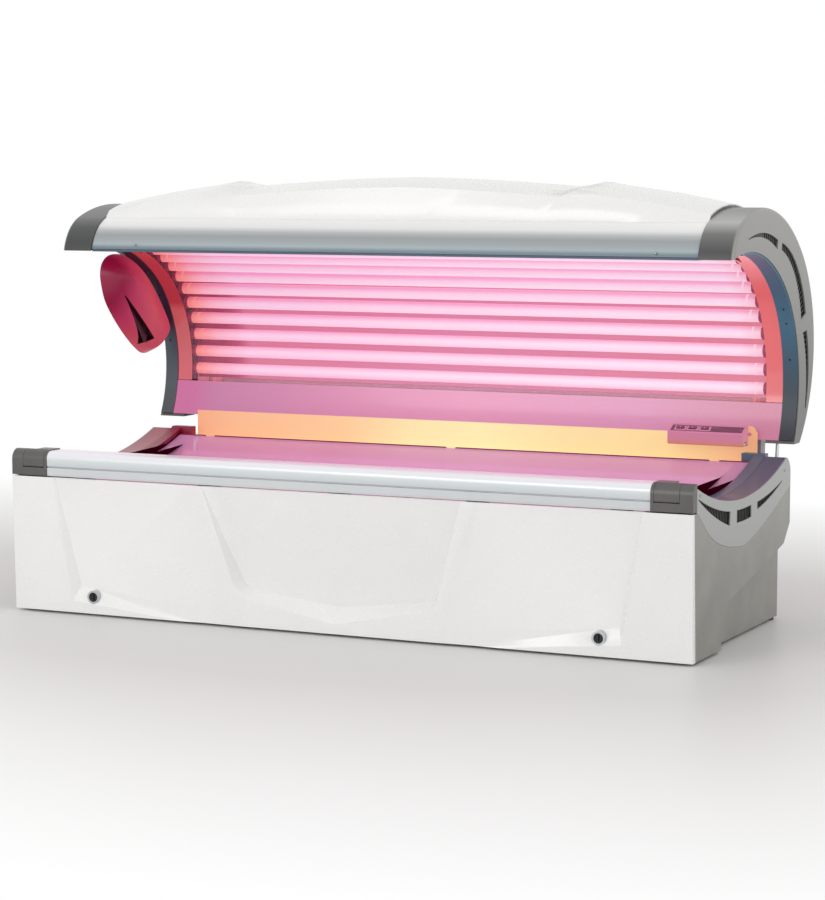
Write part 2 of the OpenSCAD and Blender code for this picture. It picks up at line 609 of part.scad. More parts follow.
// Goose-neck arms that carry the canopy
module hinge_arms() color(steel) seat() both() difference() {
    union() {
        along(arm_x - 7, arm_x + 7) link([[frame_rear + 23, beam_z + 22], [hinge[0] - 16, beam_z + 32],
            [hinge[0] + 16, beam_z + 75], [hinge[0] + 22, hinge[1] - 70], hinge], 44);
        box([arm_x - 28, frame_rear, beam_z], [arm_x + 33, base_depth + 10, beam_z + 50]);
        box([arm_x - 28, base_depth + fit, 140], [arm_x + 33, base_depth + 10, beam_z + 20]);
        // Ear and pin that carry the foot of the gas strut
        along(arm_x + 20, arm_x + 29) link([[base_depth + 19, 170], strut_foot], 36);
        pin_x(arm_x + 28, arm_x + 55, strut_foot[0], strut_foot[1], 10);
        pin_x(arm_x - 18, arm_x + 18, hinge[0], hinge[1], hinge_pin_d + 34);
    }
    pin_x(arm_x - 30, arm_x + 30, hinge[0], hinge[1], hinge_pin_d + 2 * running);
}
lug_gap = 20;
lug_t = 12;
tail = hinge + [strut_lever, -strut_lever];
module canopy_lugs() color(steel) seat() both() {
    for (x = [arm_x - lug_gap - lug_t, arm_x + lug_gap]) along(x, x + lug_t) {
        link([hinge, hinge + [48, 22], hinge + [60, 118]], 44);
        if (x > arm_x) link([hinge, tail], 34);
    }
    along(arm_x - lug_gap - lug_t, x_strip + 6) translate(hinge + [37, 120]) square([50, 20]);
    pin_x(arm_x - lug_gap - 1, arm_x + lug_gap + 1, hinge[0], hinge[1], hinge_pin_d);
    pin_x(arm_x + lug_gap + lug_t - 1, arm_x + lug_gap + lug_t + 24, tail[0], tail[1], 10);
}

// Gas struts that balance the canopy, from a bracket on the rear panel to the tails of the lugs
strut_x = arm_x + lug_gap + lug_t + 11;
strut_foot = [hinge[0] + 10, 170];
strut_v = unit(tail - strut_foot);
strut_len = norm(tail - strut_foot);
strut_open = 11;
module strut_cylinder() color([0.15, 0.15, 0.15]) seat() translate([strut_x, strut_foot[0], strut_foot[1]])
    rotate([-atan2(strut_v[0], strut_v[1]), 0, 0]) difference() {
        union() {
            translate([0, 0, 14]) cylinder(h = strut_len - 130, d = 26);
            rotate([0, 90, 0]) translate([0, 0, -8]) cylinder(h = 16, d = 30);
        }
        rotate([0, 90, 0]) translate([0, 0, -10]) cylinder(h = 20, d = 10 + 2 * running);
        translate([0, 0, 40]) cylinder(h = strut_len, d = 12 + 2 * running);
    }
module strut_rod() color("silver") seat() translate([strut_x, strut_foot[0], strut_foot[1]])
    rotate([-atan2(strut_v[0], strut_v[1]), 0, 0]) difference() {
        union() {
            translate([0, 0, 120]) cylinder(h = strut_len - 120 - strut_open, d = 12);
            translate([0, 0, strut_len]) rotate([0, 90, 0]) translate([0, 0, -8])
                cylinder(h = 16, d = 2 * strut_open + 12);
        }
        translate([0, 0, strut_len]) rotate([0, 90, 0]) translate([0, 0, -10])
            cylinder(h = 20, d = 2 * strut_open);
    }
module strut_cylinder_left() left_of() strut_cylinder();
module strut_cylinder_right() strut_cylinder();
module strut_rod_left() left_of() strut_rod();
module strut_rod_right() strut_rod();

// Control box on the rear bridge
box_x0 = x_end - 385;
box_x1 = x_end - 138;
box_z = base_height + 20;
module control_box() color([0.85, 0.47, 0.66]) seat() difference() {
    along(box_x0, box_x1) polygon([[base_depth - 54, box_z + 4], [base_depth - 50, box_z],
        [base_depth + 4, box_z], [base_depth + 4, box_z + 62], [base_depth - 10, box_z + 62],
        [base_depth - 54, box_z + 42]]);
    for (i = [0:2]) key_place(i) box([-13, -7, -6], [13, 7, 5]);
}
module key_place(i) translate([box_x0 + 36 + i * 40, base_depth - 32, box_z + 52])
    rotate([atan2(20, 44), 0, 0]) children();
module key(i) color([0.9, 0.8, 0.85]) seat() key_place(i) box([-12.5, -6.5, -4], [12.5, 6.5, 1.6]);
module key_start() key(0);
module key_speed() key(1);
module key_stop() key(2);

// Canopy
module canopy_frame() color(steel) seat() {
    both() along(x_strip + 6, x_strip + 11) difference() {
        crescent(10, 60, 12);
        for (a = [-8:13:46]) translate(rear_c + polar(rear_arc_r - 52, a)) circle(d = 34);
    }
    for (p = [[hinge[0] + 66, 140], [hinge[0] + 66, 264]])
        hollow_tube([-x_strip - 6, p[0], hinge[1] + p[1]],
            [x_strip + 6, p[0] + 25, hinge[1] + p[1] + 25], 0);
    hollow_tube([-x_strip - 6, crown_c[0] - 40, crown_c[1] + crown_arc_r - 52],
        [x_strip + 6, crown_c[0] + 10, crown_c[1] + crown_arc_r - 20], 0);
    hollow_tube([-x_strip - 6, nose_c[0] - 70, nose_c[1] + 80],
        [x_strip + 6, nose_c[0] - 40, nose_c[1] + 105], 0);
}
function lift(x) = let (a = abs(x), e = x_shell - 690 + 304)
    a < 590 ? ridge_middle - 30 * pow(a / 577, 1.6)
    : ridge_middle - 22 - 56 * pow(max(0, a - 640) / (x_shell - 640), 1.5);
// Stations along the shell: the two creases lean outwards as they climb
shell_x = [0, 110, 220, 320, 410, 480, 515, 550, 640, 740, 850, 950, x_shell];
shell_lean = [0, 0, 0, 0, 30, 60, 75, 82, 45, 10, 0, 0, 0];
shell_h = [0, 0, 0, 0, 0, 0, 0, 9, 2, 0, 0, 0, 0];
shell_a = concat([nose_a, nose_a - 1.3, nose_a - 2.3, 106.7, 103, 98, 92, 86, 80, 74, 68, 61, 55],
    [rear_a, 42, 36, 30]);
shell_w = [0, 0.55, 1, 1, 1, 1, 1, 1, 1, 0.98, 0.93, 0.83, 0.68, 0.5, 0.32, 0.12, 0];
function shell_point(k, j, depth) = let (s = k < 0 ? -1 : 1, i = abs(k), a = shell_a[j], t = min(1, j / 5),
        x = shell_x[i] + shell_lean[i] * t, c = a >= rear_a ? crown_c : rear_c,
        r = (a >= rear_a ? crown_arc_r : rear_arc_r) - 4 - depth, p = c + polar(r, a))
    [s * x, p[0], p[1] + shell_w[j] * (lift(x) + shell_h[i])];
module canopy_shell() color(white) seat() {
    n = len(shell_x) - 1;
    m = len(shell_a);
    loop = [for (k = [-n:n]) concat([for (j = [0:m - 1]) shell_point(k, j, 0)],
        [for (j = [m - 1:-1:0]) shell_point(k, j, shell_wall)])];
    difference() {
        rings(loop);
        // The moulding's ends are sawn square against the cheeks
        both() box([x_shell - fit, hinge[0] - 800, hinge[1]],
            [x_shell + 50, hinge[0] + 200, hinge[1] + 900]);
    }
}
module canopy_rear_shell() color(white) seat() difference() {
    along(-x_shell, x_shell) difference() {
        sector(rear_c, rear_arc_r - 4, -30, 30 - 0.1);
        translate(rear_c) circle(r = rear_arc_r - 4 - shell_wall, $fn = 180);
    }
    for (x = [-640:40:640], z = [-46, -22, 0, 22, 44])
        box([x - 14, rear_c[0], rear_c[1] + z - 4], [x + 14, overall_depth + 5, rear_c[1] + z + 4]);
}
module canopy_rail() color(silver) seat() along(-x_shell + fit, x_shell - fit) {
    difference() {
        sector(nose_c, nose_arc_r - 4, nose_a + 0.3, 200);
        translate(nose_c) circle(r = nose_arc_r - 4 - shell_wall, $fn = 180);
        translate([0, nose_z - 390]) square([500, 400]);
    }
    translate([nose_c[0] - nose_arc_r + 8, nose_z + 10]) square([84, 5]);
}
module canopy_rail_seal() color(slate) seat() along(-x_shell + fit, x_shell - fit)
    translate([nose_c[0] - nose_arc_r + 10, nose_z + 2]) square([80, 7.8]);
// Grey end cheeks with a rounded outer edge, three swept vents and a wall along the mouth
module cheek_form() {
    for (s = [[rear_c, rear_arc_r, [polar(900, -75), polar(900, -13), rear_turn * 12]],
        [crown_c, crown_arc_r, [rear_turn * 12, nose_turn * 3.2]],
        [nose_c, nose_arc_r, [nose_turn * 3.2, polar(900, 200)]]])
        intersection() {
            translate([x_shell, s[0][0], s[0][1]]) rotate([90, 0, 90]) rotate_extrude($fn = 180) {
                square([s[1] - cheek_round, canopy_end - x_shell]);
                square([s[1], canopy_end - x_shell - cheek_round]);
                translate([s[1] - cheek_round, canopy_end - x_shell - cheek_round])
                    circle(r = cheek_round, $fn = 32);
            }
            along(x_shell - 1, canopy_end + 1) translate(s[0]) polygon(concat([[0, 0]], s[2]));
        }
}
module canopy_vents(grow) {
    swept_slot(crown_c, 76 - grow * 0.1, 109, 458 - grow, 506 - grow, 486 + grow, 508 + grow);
    swept_slot(rear_c, 20 - grow * 0.1, 83, 261 - grow, 312 - grow, 312 + grow, 334 + grow);
    swept_slot(rear_c, -32 - grow * 0.1, 10, 350 - grow, 270 - grow, 362 + grow, 311 + grow);
}
module cheek_hollow(edge) difference() {
    canopy_outer(edge);
    mouth(7);
    nose_cut(panel_wall);
    foot_cut(panel_wall);
}
module canopy_cheek() color(grey) seat() difference() {
    cheek_form();
    along(x_shell - 1, canopy_end - panel_wall) cheek_hollow(panel_wall + 4);
    along(x_shell - 1, canopy_end - panel_wall - 4) cheek_hollow(panel_wall);
    along(x_shell - 10, canopy_end + 1) mouth(2 + fit);
    // Room for the lamp holders behind the mouth; the outer wall stays whole
    along(x_shell - 10, x_strip + 11.5) intersection() {
        mouth(60);
        canopy_outer(panel_wall + 4);
    }
    along(x_shell - 10, canopy_end + 1) nose_cut(0);
    along(x_shell - 10, canopy_end + 1) translate([hinge[0] - 180, foot_z - 400]) square([400, 400]);
    along(canopy_end - 12, canopy_end + 5) canopy_vents(0);
    along(x_shell - 10, x_strip + 11.5) translate([hinge[0] - 180, foot_z - 10]) square([400, 90]);
}
module canopy_cheek_left() left_of() canopy_cheek();
module canopy_cheek_right() canopy_cheek();
module canopy_grilles() color([0.2, 0.2, 0.2]) seat() both() difference() {
    along(canopy_end - panel_wall - 3, canopy_end - panel_wall - fit) canopy_vents(6);
    along(canopy_end - panel_wall - 4, canopy_end) intersection() {
        canopy_vents(-1);
        for (a = [-30:3:109]) translate(rear_c) rotate(a) translate([240, -4]) square([280, 8]);
    }
}
module canopy_rims() color(slate) seat() both() difference() {
    along(x_rim, canopy_end - 3) difference() {
        mouth_band(-4, 2, -25.5, 96);
        translate([hinge[0] - 180, foot_z - 400]) square([400, 400]);
    }
    // Fixing holes for accessories
    for (a = [38, 30, 12]) translate([0, mouth_c[0], mouth_c[1]]) rotate([a, 0, 0])
        translate([x_rim + 24, mouth_arc_r - 6, 0]) rotate([-90, 0, 0]) cylinder(h = 10, d = 7);
}
module canopy_end_strips() color(crimson) seat() both()
    along(x_strip + fit, x_rim - fit) mouth_band(0, 2, -8, 96);
module canopy_sheet_clear() color(pink, 0.4) seat()
    along(-x_strip + 1, x_strip - 1) mouth_band(0, 3, -7.5, 96);
canopy_lamp_g = 6 + lamp_d / 2;
// Lamps follow the mouth: past the joint of its two arcs the step continues on the upper arc
function lamp_step(r) = canopy_lamp_pitch / r * 180 / PI;
function canopy_lamp(i) = let (r = mouth_arc_r + canopy_lamp_g, a = -2 + i * lamp_step(r),
        r2 = mouth_top_r + canopy_lamp_g, a2 = mouth_turn + (a - mouth_turn) * r / r2)
    a <= mouth_turn ? [mouth_c + polar(r, a), a] : [mouth_top_c + polar(r2, a2), a2];
module canopy_lamps() color(pink) seat()
    for (i = [0:canopy_lamp_count - 1]) lamp(x_strip - 12, canopy_lamp(i)[0]);
module canopy_lamp_holders() color("whitesmoke") seat() both() for (i = [0:canopy_lamp_count - 1])
    holder(x_strip - 12, canopy_lamp(i)[0], canopy_lamp(i)[1] - 90);
module canopy_reflector() color(silver) seat() along(-x_strip - 5, x_strip + 5)
    mouth_band(canopy_lamp_g + lamp_d / 2 + 10.3, canopy_lamp_g + lamp_d / 2 + 12, -6, 94);
module canopy_trim() color([0.85, 0.53, 0.72]) seat() {
    along(-x_rim + fit, x_rim - fit) difference() {
        sector(mouth_c, mouth_arc_r + 2, -25.5, -8.3);
        translate(mouth_c) circle(r = mouth_arc_r - 2, $fn = 180);
    }
    // The flange ends short of the hinge arms, which pass behind the trim as the canopy comes down
    along(12 - arm_x, arm_x - 12) translate([mouth_c[0] + mouth_arc_r * cos(24) - 4, foot_z + 9])
        square([32, 3]);
}

// Air nozzle pod in the head end of the mouth, and the vane in its outlet
pod_x = -canopy_end + 10;
pod_c = hinge + [-290, 330];
slot_tip = hinge + [-411, 368];
slot_foot = [hinge + [-244, 204], hinge + [-276, 182]];
slot_gap = 2.5;
// The vane turns on two pins in the slot's ends, as deep as the middle of the domed wall there
vane_from = [pod_x + 60.5, slot_tip[0], slot_tip[1]];
vane_to = [pod_x + 54.4, (slot_foot[0][0] + slot_foot[1][0]) / 2, (slot_foot[0][1] + slot_foot[1][1]) / 2];
vane_v = vane_to - vane_from;
vane_len = norm(vane_v);
// A lens: the mouth's arc above, a wide arc below, and two nearly straight ends
module pod_outline(inset) intersection() {
    mouth(-4.3 - inset);
    translate(hinge + [-51, 587]) circle(r = 474 - inset, $fn = 180);
    translate(hinge + [-239, 152]) rotate(31.6) translate([-600, inset]) square([1200, 900]);
    translate(hinge + [-506, 454]) rotate(21.4) translate([-600, -900 - inset]) square([1200, 900]);
}
module vane_place() translate(vane_from)
    rotate([0, acos(vane_v[2] / vane_len), atan2(vane_v[1], vane_v[0])]) children();
module vane_pins(d) vane_place() {
    translate([0, 0, -4]) cylinder(h = vane_len * 0.26 + 4, d = d);
    translate([0, 0, vane_len * 0.94]) cylinder(h = vane_len * 0.06 + 5, d = d);
}
module nozzle_pod() color(crimson) seat() difference() {
    intersection() {
        along(pod_x, pod_x + 100) pod_outline(0);
        translate([pod_x - 230, pod_c[0], pod_c[1]]) sphere(r = 320, $fn = 120);
    }
    intersection() {
        along(pod_x + 5, pod_x + 100) pod_outline(6);
        translate([pod_x - 230, pod_c[0], pod_c[1]]) sphere(r = 314, $fn = 120);
    }
    along(pod_x + 20, pod_x + 110) polygon([slot_tip, slot_foot[0], slot_foot[1]]);
    vane_pins(3 + 2 * running);
}
module nozzle_vane() color([0.3, 0.0, 0.1]) seat() {
    half = norm(slot_foot[0] - slot_foot[1]) / 2;
    vane_place() rotate([90, 0, 0]) translate([0, 0, -1.5]) linear_extrude(3)
        polygon([for (p = [[-1, 0.25], [1, 0.25], [1, 0.96], [-1, 0.96]])
            [p[0] * (half * p[1] - slot_gap), vane_len * p[1]]]);
    vane_pins(3);
}

base_frame();
levelling_feet();
floor_tray();
ballasts();
front_brackets();
front_panel();
lock_bezels();
lock_left();
lock_right();
front_rail();
rail_strip();
base_cap_left();
base_cap_right();
latch_left();
latch_right();
side_panel_left();
side_panel_right();
bench_cheek_left();
bench_cheek_right();
cheek_grilles();
bench_trims();
bench_end_strips();
bench_sheet_clear();
bench_sheet_hinge();
bench_lamps();
bench_lamp_holders();
bench_reflector();
bench_cradles();
rear_panel();
rear_bridge();
mains_gland();
base_fan();
base_fan_rotor();
hinge_arms();
control_box();
key_start();
key_speed();
key_stop();
strut_cylinder_left();
strut_cylinder_right();
strut_rod_left();
strut_rod_right();
canopy_frame();
canopy_lugs();
canopy_shell();
canopy_rear_shell();
canopy_rail();
canopy_rail_seal();
canopy_cheek_left();
canopy_cheek_right();
canopy_grilles();
canopy_rims();
canopy_end_strips();
canopy_sheet_clear();
canopy_lamps();
canopy_lamp_holders();
canopy_reflector();
canopy_trim();
nozzle_pod();
nozzle_vane();
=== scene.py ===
"""Looks, light and camera for a lie-down red light therapy bed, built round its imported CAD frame.

Every piece rides a CAD body. Moulded panels are copies of their CAD solids with welded vertices, smooth
shading and rounded edges. Small parts that the CAD leaves out, such as screw heads, lamp caps and the marks
on the control panel, are modelled here with bmesh operators.
"""

import json
import logging
import math
from dataclasses import dataclass, field, replace
from enum import Enum
from typing import Callable, Iterable

import bmesh
import bpy
from bmesh.types import BMEdge, BMesh, BMFace, BMVert
from bpy.types import Material, Mesh, Node, NodeSocket, NodeTree, Object
from mathutils import Matrix, Vector

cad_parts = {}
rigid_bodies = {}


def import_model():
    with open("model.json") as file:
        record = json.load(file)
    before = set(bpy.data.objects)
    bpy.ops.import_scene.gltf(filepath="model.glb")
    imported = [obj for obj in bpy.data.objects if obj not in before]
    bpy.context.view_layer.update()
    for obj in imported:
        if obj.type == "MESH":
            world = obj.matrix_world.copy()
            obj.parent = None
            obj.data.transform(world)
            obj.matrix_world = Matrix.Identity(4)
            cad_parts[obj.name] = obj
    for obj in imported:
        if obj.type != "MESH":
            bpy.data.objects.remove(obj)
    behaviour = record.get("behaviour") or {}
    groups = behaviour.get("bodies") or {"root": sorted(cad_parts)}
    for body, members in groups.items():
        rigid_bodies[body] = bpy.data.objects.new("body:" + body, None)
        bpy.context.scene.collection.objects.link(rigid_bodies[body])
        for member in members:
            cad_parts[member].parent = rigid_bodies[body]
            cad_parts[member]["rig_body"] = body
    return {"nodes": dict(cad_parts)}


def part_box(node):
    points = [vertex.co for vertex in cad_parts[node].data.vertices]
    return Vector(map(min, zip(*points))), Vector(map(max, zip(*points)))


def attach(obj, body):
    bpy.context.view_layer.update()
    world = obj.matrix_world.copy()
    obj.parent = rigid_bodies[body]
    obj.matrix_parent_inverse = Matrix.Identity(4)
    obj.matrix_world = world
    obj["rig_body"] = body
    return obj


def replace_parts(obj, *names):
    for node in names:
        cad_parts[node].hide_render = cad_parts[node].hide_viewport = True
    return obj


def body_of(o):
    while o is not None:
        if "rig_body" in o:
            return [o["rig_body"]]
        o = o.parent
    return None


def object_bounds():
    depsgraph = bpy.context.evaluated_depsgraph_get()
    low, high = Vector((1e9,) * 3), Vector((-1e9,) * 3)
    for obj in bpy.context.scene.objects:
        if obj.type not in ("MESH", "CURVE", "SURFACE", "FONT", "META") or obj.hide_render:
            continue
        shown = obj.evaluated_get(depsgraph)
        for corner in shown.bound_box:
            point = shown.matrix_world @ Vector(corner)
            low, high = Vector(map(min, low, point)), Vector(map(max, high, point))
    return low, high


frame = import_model()
CAD_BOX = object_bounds()
LOG = logging.getLogger("therapy_bed")
MM = 0.001
# The front of the base in the CAD frame: sizes below count from it, along the depth, in millimetres
FRONT_Y = CAD_BOX[0][1]
# Vertices of a CAD mesh that lie closer than this, in metres, become one
WELD_M = 2e-5
# Neighbouring triangles within this angle, in degrees, become one flat face
FACET_DEG = 0.4
# The attribute that marks how far a point of a lamp turns away from what it faces, for the painted shade on
# the lamps' flanks
FLANK = "flank"
# Sockets of a colour mix node: the share of the second colour, the two colours, and the result
MIX_SHARE, MIX_FIRST, MIX_SECOND, MIX_RESULT = 0, 6, 7, 2
# Edges past this angle, in radians, are the rim of a bar's flat end
RIM_ANGLE = math.radians(30)
# Roughness of every clear lacquer
COAT_ROUGHNESS = 0.08
# The part of a noise texture's range that holds nearly all of its values
NOISE_SPAN = (0.3, 0.7)

Point = tuple[float, float]
Spot = tuple[float, float, float]
Seat = tuple[Vector, Vector]
Stops = dict[float, str]


def at(x: float, y: float, z: float) -> Vector:
    """Turns millimetres from the middle, the front of the base and the floor into a frame position."""
    return Vector((x * MM, FRONT_Y + y * MM, z * MM))


def linear(code: str) -> tuple[float, float, float, float]:
    """Turns an sRGB hex code into linear light.

    Args:
        code: Six hex digits after a hash.

    Returns:
        Linear red, green and blue, with full opacity.
    """
    parts = [int(code.lstrip("#")[i : i + 2], 16) / 255 for i in (0, 2, 4)]
    red, green, blue = (c / 12.92 if c <= 0.04045 else ((c + 0.055) / 1.055) ** 2.4 for c in parts)
    return (red, green, blue, 1.0)


def add(tree: NodeTree, kind: str, sockets: dict | None = None, links: dict | None = None, **settings) -> Node:
    """Adds one node with its settings and links.

    Args:
        tree: The node tree that gets the node.
        kind: The node's Blender type.
        sockets: Values for its unlinked inputs, by name or number.
        links: Output sockets that feed its inputs, by input name or number.
        **settings: Attributes of the node itself.

    Returns:
        The new node.
    """
    node = tree.nodes.new(kind)
    for key, value in settings.items():
        setattr(node, key, value)
    for key, value in (sockets or {}).items():
        node.inputs[key].default_value = value
    for key, source in (links or {}).items():
        tree.links.new(source, node.inputs[key])
    return node


def ramp(tree: NodeTree, factor: NodeSocket, stops: Stops) -> NodeSocket:
    """Adds a colour ramp.

    Args:
        tree: The node tree.
        factor: The socket that drives it.
        stops: Hex colours by their positions from 0 to 1.

    Returns:
        The ramp's colour.
    """
    node = add(tree, "ShaderNodeValToRGB", links={0: factor})
    while len(node.color_ramp.elements) < len(stops):
        node.color_ramp.elements.new(1.0)
    for element, (position, code) in zip(node.color_ramp.elements, stops.items()):
        element.position = position
        element.color = linear(code)
    return node.outputs["Color"]


def remap(tree: NodeTree, value: NodeSocket, source: Point, target: Point = (0.0, 1.0)) -> NodeSocket:
    """Maps a value from its source range to the target range, keeps it inside, and returns the result."""
    limits = {"From Min": source[0], "From Max": source[1], "To Min": target[0], "To Max": target[1]}
    return add(tree, "ShaderNodeMapRange", limits, {"Value": value}).outputs["Result"]


def blend(tree: NodeTree, links: dict, sockets: dict | None = None, kind: str = "MIX") -> NodeSocket:
    """Mixes two colours.

    Args:
        tree: The node tree.
        links: What feeds the share and the colours, by the socket numbers above.
        sockets: A colour that nothing feeds.
        kind: The way of mixing.

    Returns:
        The mixed colour.
    """
    node = add(tree, "ShaderNodeMix", sockets, links, data_type="RGBA", blend_type=kind)
    return node.outputs[MIX_RESULT]


def noise(tree: NodeTree, place: NodeSocket, size_mm: float, **sockets: float) -> NodeSocket:
    """Adds a noise texture whose features have about the given size, and returns its value."""
    sockets["Scale"] = 1 / (size_mm * MM)
    return add(tree, "ShaderNodeTexNoise", sockets, {"Vector": place}).outputs["Fac"]


class Along(Enum):
    """The frame axis that a gradient follows."""

    LENGTH = "X"
    DEPTH = "Y"
    HEIGHT = "Z"


@dataclass(frozen=True)
class Finish:
    """A surface: a base colour with a soft mottle, a fine grain in the gloss and a fine bump.

    Attributes:
        name: The real material and how its surface was made.
        slot: The record's material slot; not used.
        colour: Main sRGB hex colour, where no gradient takes its place.
        shade: The colour its mottle drifts to.
        roughness: Middle of its roughness.
        spread: How far the roughness wanders to each side.
        metallic: 0 for plastics and 1 for bare metal.
        ior: Refractive index of a plastic or lacquer.
        coat: Weight of a clear lacquer on top.
        mottle_mm: Size of the colour drift.
        grain_mm: Size of the bump's grain.
        grain_depth_mm: Height of the bump.
        stretch: Scale of the grain along X, Y and Z, for brushed or drawn metal.
        glow: Strength of the light that the surface gives off, for parts lit by the lamps next to them.
        kept: Share of the colour that stays in the base of such a part.
        opacity: How much of its own colour shows, for clear sheets.
    """

    name: str
    slot: str
    colour: str = "#ffffff"
    shade: str = "#ffffff"
    roughness: float = 0.4
    spread: float = 0.05
    metallic: float = 0.0
    ior: float = 1.5
    coat: float = 0.0
    mottle_mm: float = 120.0
    grain_mm: float = 3.0
    grain_depth_mm: float = 0.03
    stretch: Spot = (1.0, 1.0, 1.0)
    glow: float = 0.0
    kept: float = 1.0
    opacity: float = 1.0

    def material(self) -> Material:
        """Returns the finish's material, made once and then reused."""
        found = bpy.data.materials.get(self.name)
        if found:
            return found
        made = bpy.data.materials.new(self.name)
        made.use_nodes = True
        tree = made.node_tree
        shader = tree.nodes["Principled BSDF"]
        shader.inputs["Metallic"].default_value = self.metallic
        if self.metallic < 1.0:
            shader.inputs["IOR"].default_value = self.ior
        shader.inputs["Coat Weight"].default_value = self.coat
        shader.inputs["Coat Roughness"].default_value = COAT_ROUGHNESS
        shader.inputs["Alpha"].default_value = self.opacity
        place = add(tree, "ShaderNodeTexCoord").outputs["Object"]
        drawn = add(tree, "ShaderNodeMapping", {"Scale": self.stretch}, {"Vector": place}).outputs["Vector"]
        self.paint(tree, shader, place)
        grain = noise(tree, drawn, self.grain_mm, Detail=4.0, Roughness=0.6)
        gloss = remap(tree, grain, NOISE_SPAN, (self.roughness - self.spread, self.roughness + self.spread))
        tree.links.new(gloss, shader.inputs["Roughness"])
        depth = {"Strength": 1.0, "Distance": self.grain_depth_mm * MM}
        bump = add(tree, "ShaderNodeBump", depth, {"Height": grain})
        tree.links.new(bump.outputs["Normal"], shader.inputs["Normal"])
        return made

    def paint(self, tree: NodeTree, shader: Node, place: NodeSocket) -> None:
        """Feeds the surface's colour to the shader's base and, where it glows, to its light.

        Args:
            tree: The material's tree.
            shader: Its Principled shader.
            place: Object coordinates.
        """
        colour = base = self.tone(tree, place)
        if self.kept < 1.0:
            dim = add(tree, "ShaderNodeVectorMath", {"Scale": self.kept}, {0: colour}, operation="SCALE")
            base = dim.outputs["Vector"]
        tree.links.new(base, shader.inputs["Base Color"])
        if self.glow:
            tree.links.new(colour, shader.inputs["Emission Color"])
            shader.inputs["Emission Strength"].default_value = self.glow

    def tone(self, tree: NodeTree, place: NodeSocket) -> NodeSocket:
        """Makes the surface's colour: here a soft mottle between two close tones.

        Args:
            tree: The material's tree.
            place: Object coordinates.

        Returns:
            The mottled colour.
        """
        cloud = noise(tree, place, self.mottle_mm, Detail=3.0)
        return ramp(tree, cloud, dict(zip(NOISE_SPAN, (self.shade, self.colour))))


@dataclass(frozen=True)
class Flaked(Finish):
    """Metallic lacquer: small bright flakes under a clear coat.

    Attributes:
        flake_mm: Size of a flake. Real ones are under 0.1 mm and would not show, so they are drawn coarser.
        flake_reach: Radius of a flake's bright part, as a share of its size.
        flake_share: How much of the flake's colour shows at its middle.
        flake_colour: Colour of the brightest flakes.
    """

    flake_mm: float = 1.6
    flake_reach: float = 0.22
    flake_share: float = 0.35
    flake_colour: str = "#ffffff"

    def tone(self, tree: NodeTree, place: NodeSocket) -> NodeSocket:
        """Mixes bright flakes over the soft mottle.

        Args:
            tree: The material's tree.
            place: Object coordinates.

        Returns:
            The mixed colour.
        """
        ground = super().tone(tree, place)
        flakes = add(tree, "ShaderNodeTexVoronoi", {"Scale": 1000 / self.flake_mm}, {"Vector": place})
        share = remap(tree, flakes.outputs["Distance"], (0.0, self.flake_reach), (self.flake_share, 0.0))
        return blend(tree, {MIX_SHARE: share, MIX_FIRST: ground}, {MIX_SECOND: linear(self.flake_colour)})


@dataclass(frozen=True)
class Graded(Finish):
    """A surface whose tone drifts along one axis, as the light of the room and of the lamps falls on it.

    Attributes:
        along: The axis that the gradient follows.
        span_mm: Where the gradient starts and ends, on that axis of the frame.
        stops: Colours by their positions along the span.
    """

    along: Along = Along.LENGTH
    span_mm: Point = (-1030.0, 1030.0)
    stops: Stops = field(default_factory=dict)

    def tone(self, tree: NodeTree, place: NodeSocket) -> NodeSocket:
        """Makes the gradient.

        Args:
            tree: The material's tree.
            place: Object coordinates.

        Returns:
            Its colour.
        """
        parts = add(tree, "ShaderNodeSeparateXYZ", links={0: place})
        start, end = self.span_mm
        return ramp(tree, remap(tree, parts.outputs[self.along.value], (start * MM, end * MM)), self.stops)


@dataclass(frozen=True)
class LitGlass(Graded):
    """Lamp glass: brightest along the line that faces the lying place, and pinker on its flanks, where shade
    is painted in.

    Attributes:
        flank: The tint of the painted shade on the flanks, which the mesh marks in its own attribute.
    """

    flank: str = "#f4bcd8"

    def tone(self, tree: NodeTree, place: NodeSocket) -> NodeSocket:
        """Tints the gradient on the flanks.

        Args:
            tree: The material's tree.
            place: Object coordinates.

        Returns:
            The tinted colour.
        """
        colour = super().tone(tree, place)
        side = add(tree, "ShaderNodeAttribute", attribute_name=FLANK)
        fed = {MIX_SHARE: side.outputs["Fac"], MIX_FIRST: colour}
        return blend(tree, fed, {MIX_SECOND: linear(self.flank)}, "MULTIPLY")


@dataclass(frozen=True)
class Cheek(Finish):
    """Lacquer on a canopy cheek with painted light and shade: one set of tones by height on its flat side,
    another round its nose.

    Attributes:
        side_mm: Distances from the middle between which the nose turns into the flat side.
        span_mm: Where both gradients start and end, in height.
        flat: The flat side's colours, painted shade by height, by their positions along the span.
        nose: The same for the rounded nose, with its painted dark band and painted highlight.
    """

    side_mm: Point = (1124.0, 1130.0)
    span_mm: Point = (544.0, 1276.0)
    flat: Stops = field(default_factory=dict)
    nose: Stops = field(default_factory=dict)

    def tone(self, tree: NodeTree, place: NodeSocket) -> NodeSocket:
        """Joins the tones of the flat side and the nose.

        Args:
            tree: The material's tree.
            place: Object coordinates.

        Returns:
            The colour.
        """
        parts = add(tree, "ShaderNodeSeparateXYZ", links={0: place})
        run = remap(tree, parts.outputs["Z"], (self.span_mm[0] * MM, self.span_mm[1] * MM))
        away = add(tree, "ShaderNodeMath", links={0: parts.outputs["X"]}, operation="ABSOLUTE")
        side = remap(tree, away.outputs[0], (self.side_mm[0] * MM, self.side_mm[1] * MM))
        tones = {MIX_FIRST: ramp(tree, run, self.nose), MIX_SECOND: ramp(tree, run, self.flat)}
        return blend(tree, {MIX_SHARE: side, **tones})


